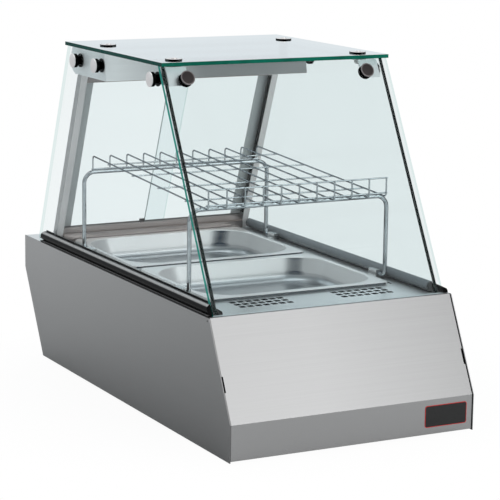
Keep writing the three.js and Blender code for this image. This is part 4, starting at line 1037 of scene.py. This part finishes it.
side_kind = clamp_shell(CLAMP.pad, CLAMP.cap, CLAMP.pad_radius)
front_kind = clamp_shell(CLAMP.front_pad, CLAMP.cap, CLAMP.pad_radius)
top_kind = clamp_shell(CLAMP.top_pad, CLAMP.top_cap, CLAMP.top_pad_radius)
SIDE_CLAMPS = Sizes(inset=15.5, high=538.5, rows={"front": 304.5, "middle": 523, "back": 612})
FRONT_CLAMPS = Sizes(inset=53, high=542.8)
TOP_CLAMPS = Sizes(inset=48, high=567.8, rows={"front": 300, "back": 553})
for side, outward in (("left", LEFTWARD), ("right", RIGHTWARD)):
    for row, y in SIDE_CLAMPS.rows.items():
        place = mm(across(side, SIDE_CLAMPS.inset), y, SIDE_CLAMPS.high)
        clamp(side + "_side_clamp_" + row, side_kind, bright_cap, place, outward)
for side in ("left", "right"):
    place = mm(across(side, FRONT_CLAMPS.inset), front_face(FRONT_CLAMPS.high), FRONT_CLAMPS.high)
    clamp(side + "_front_clamp", front_kind, dark_cap, place, LEAN_FRONT)
    for row, y in TOP_CLAMPS.rows.items():
        place = mm(across(side, TOP_CLAMPS.inset), y, TOP_CLAMPS.high)
        clamp(side + "_top_clamp_" + row, top_kind, bright_cap, place, UPWARD)

# The rack is bright plated wire: two bent rods whose feet spring into clips on the deck, and on them a grid
# of thinner wires, welded where they cross, that runs down towards the front and turns up in a lip.

RACK = Sizes(left=36.6, right=393.4, front=216.3, back=628.6, bar=343.3, foot=210.8, reach=42, radius=3.5,
             bend=19, foot_bend=10)
plating = Finish("bright_plating")
cloud = plating.noise((90.0, 90.0, 90.0), 3.0)
plating_core = plating.blend(cloud.ramp(0.3, 0.7), rgb(0.52, 0.55, 0.57), rgb(0.68, 0.71, 0.73))
# The wires are painted dark at their edges, where they turn away from the eye, as shade.
painted_edge_shade = plating.node("ShaderNodeLayerWeight", None, {"Blend": 0.5}, "Facing").ramp(0.25, 0.6)
plating_finish = plating.done(plating.surface(
    Base_Color=plating.blend(painted_edge_shade, plating_core, rgb(0.07, 0.09, 0.11)), Metallic=1.0,
    Roughness=0.08 + cloud * 0.06))
for end, y, reach in (("front", RACK.front, RACK.reach), ("back", RACK.back, -RACK.reach)):
    corners = [(RACK.left, y + reach, RACK.foot), (RACK.left, y, RACK.foot),
               (RACK.left, y, RACK.bar), (RACK.right, y, RACK.bar),
               (RACK.right, y, RACK.foot), (RACK.right, y + reach, RACK.foot)]
    bends = [RACK.foot_bend, RACK.bend, RACK.bend, RACK.foot_bend]
    rod = round_bar(along(corners, bends, 10), RACK.radius, 20, 0.6)
    piece("rack_frame_" + end + "_rod", rod, [plating_finish], ["rack_frame_" + end])

WIRE = Sizes(radius=1.3, count=11, first=55.1, last=374.9, lip_y=188, lip=31.7, slope=22, bend=6, weld=0.8,
             back=633.7, past=3.3, crosses=(264.0, 365.0, 465.0, 563.0))
grid_top = RACK.bar + RACK.radius + TOUCH + WIRE.radius


def grid_z(y):
    """The height of the grid's long wires some way back."""
    return grid_top + WIRE.slope * (y - RACK.front) / (WIRE.back - RACK.front)


sunk = 2 * WIRE.radius - WIRE.weld
lip_z = grid_z(WIRE.lip_y)
strands = []
for index in range(WIRE.count):
    x = WIRE.first + index * (WIRE.last - WIRE.first) / (WIRE.count - 1)
    wire_corners = [(x, WIRE.back, RACK.bar), (x, WIRE.back, grid_z(WIRE.back)),
                    (x, WIRE.lip_y, lip_z), (x, WIRE.lip_y, lip_z + WIRE.lip)]
    strands.append(along(wire_corners, [WIRE.bend] * 2, 6))
cross_wires = [(y, grid_z(y) - sunk) for y in WIRE.crosses] + [
    (WIRE.lip_y + sunk, lip_z + WIRE.bend),
    (WIRE.lip_y + sunk, lip_z + WIRE.lip - WIRE.radius),
    (WIRE.back - sunk, grid_top - WIRE.weld),
]
cross_ends = (WIRE.first - WIRE.past, WIRE.last + WIRE.past)
strands += [[Vector((x, y, z)) for x in cross_ends] for y, z in cross_wires]
grid_vertices, grid_faces = [], []
for strand in strands:
    vertices, faces = round_bar(strand, WIRE.radius, 12, 0.4)
    grid_faces += [tuple(corner + len(grid_vertices) for corner in face) for face in faces]
    grid_vertices += vertices
piece("rack_grid_wires", (grid_vertices, grid_faces), [plating_finish], ["rack_grid"])
clip_steel = brushed_steel("clip_steel", 0.62, "Y", roughness=0.22, contrast=0.06)
dressed(*both("rack_clip_front"), *both("rack_clip_back"), finish=clip_steel)
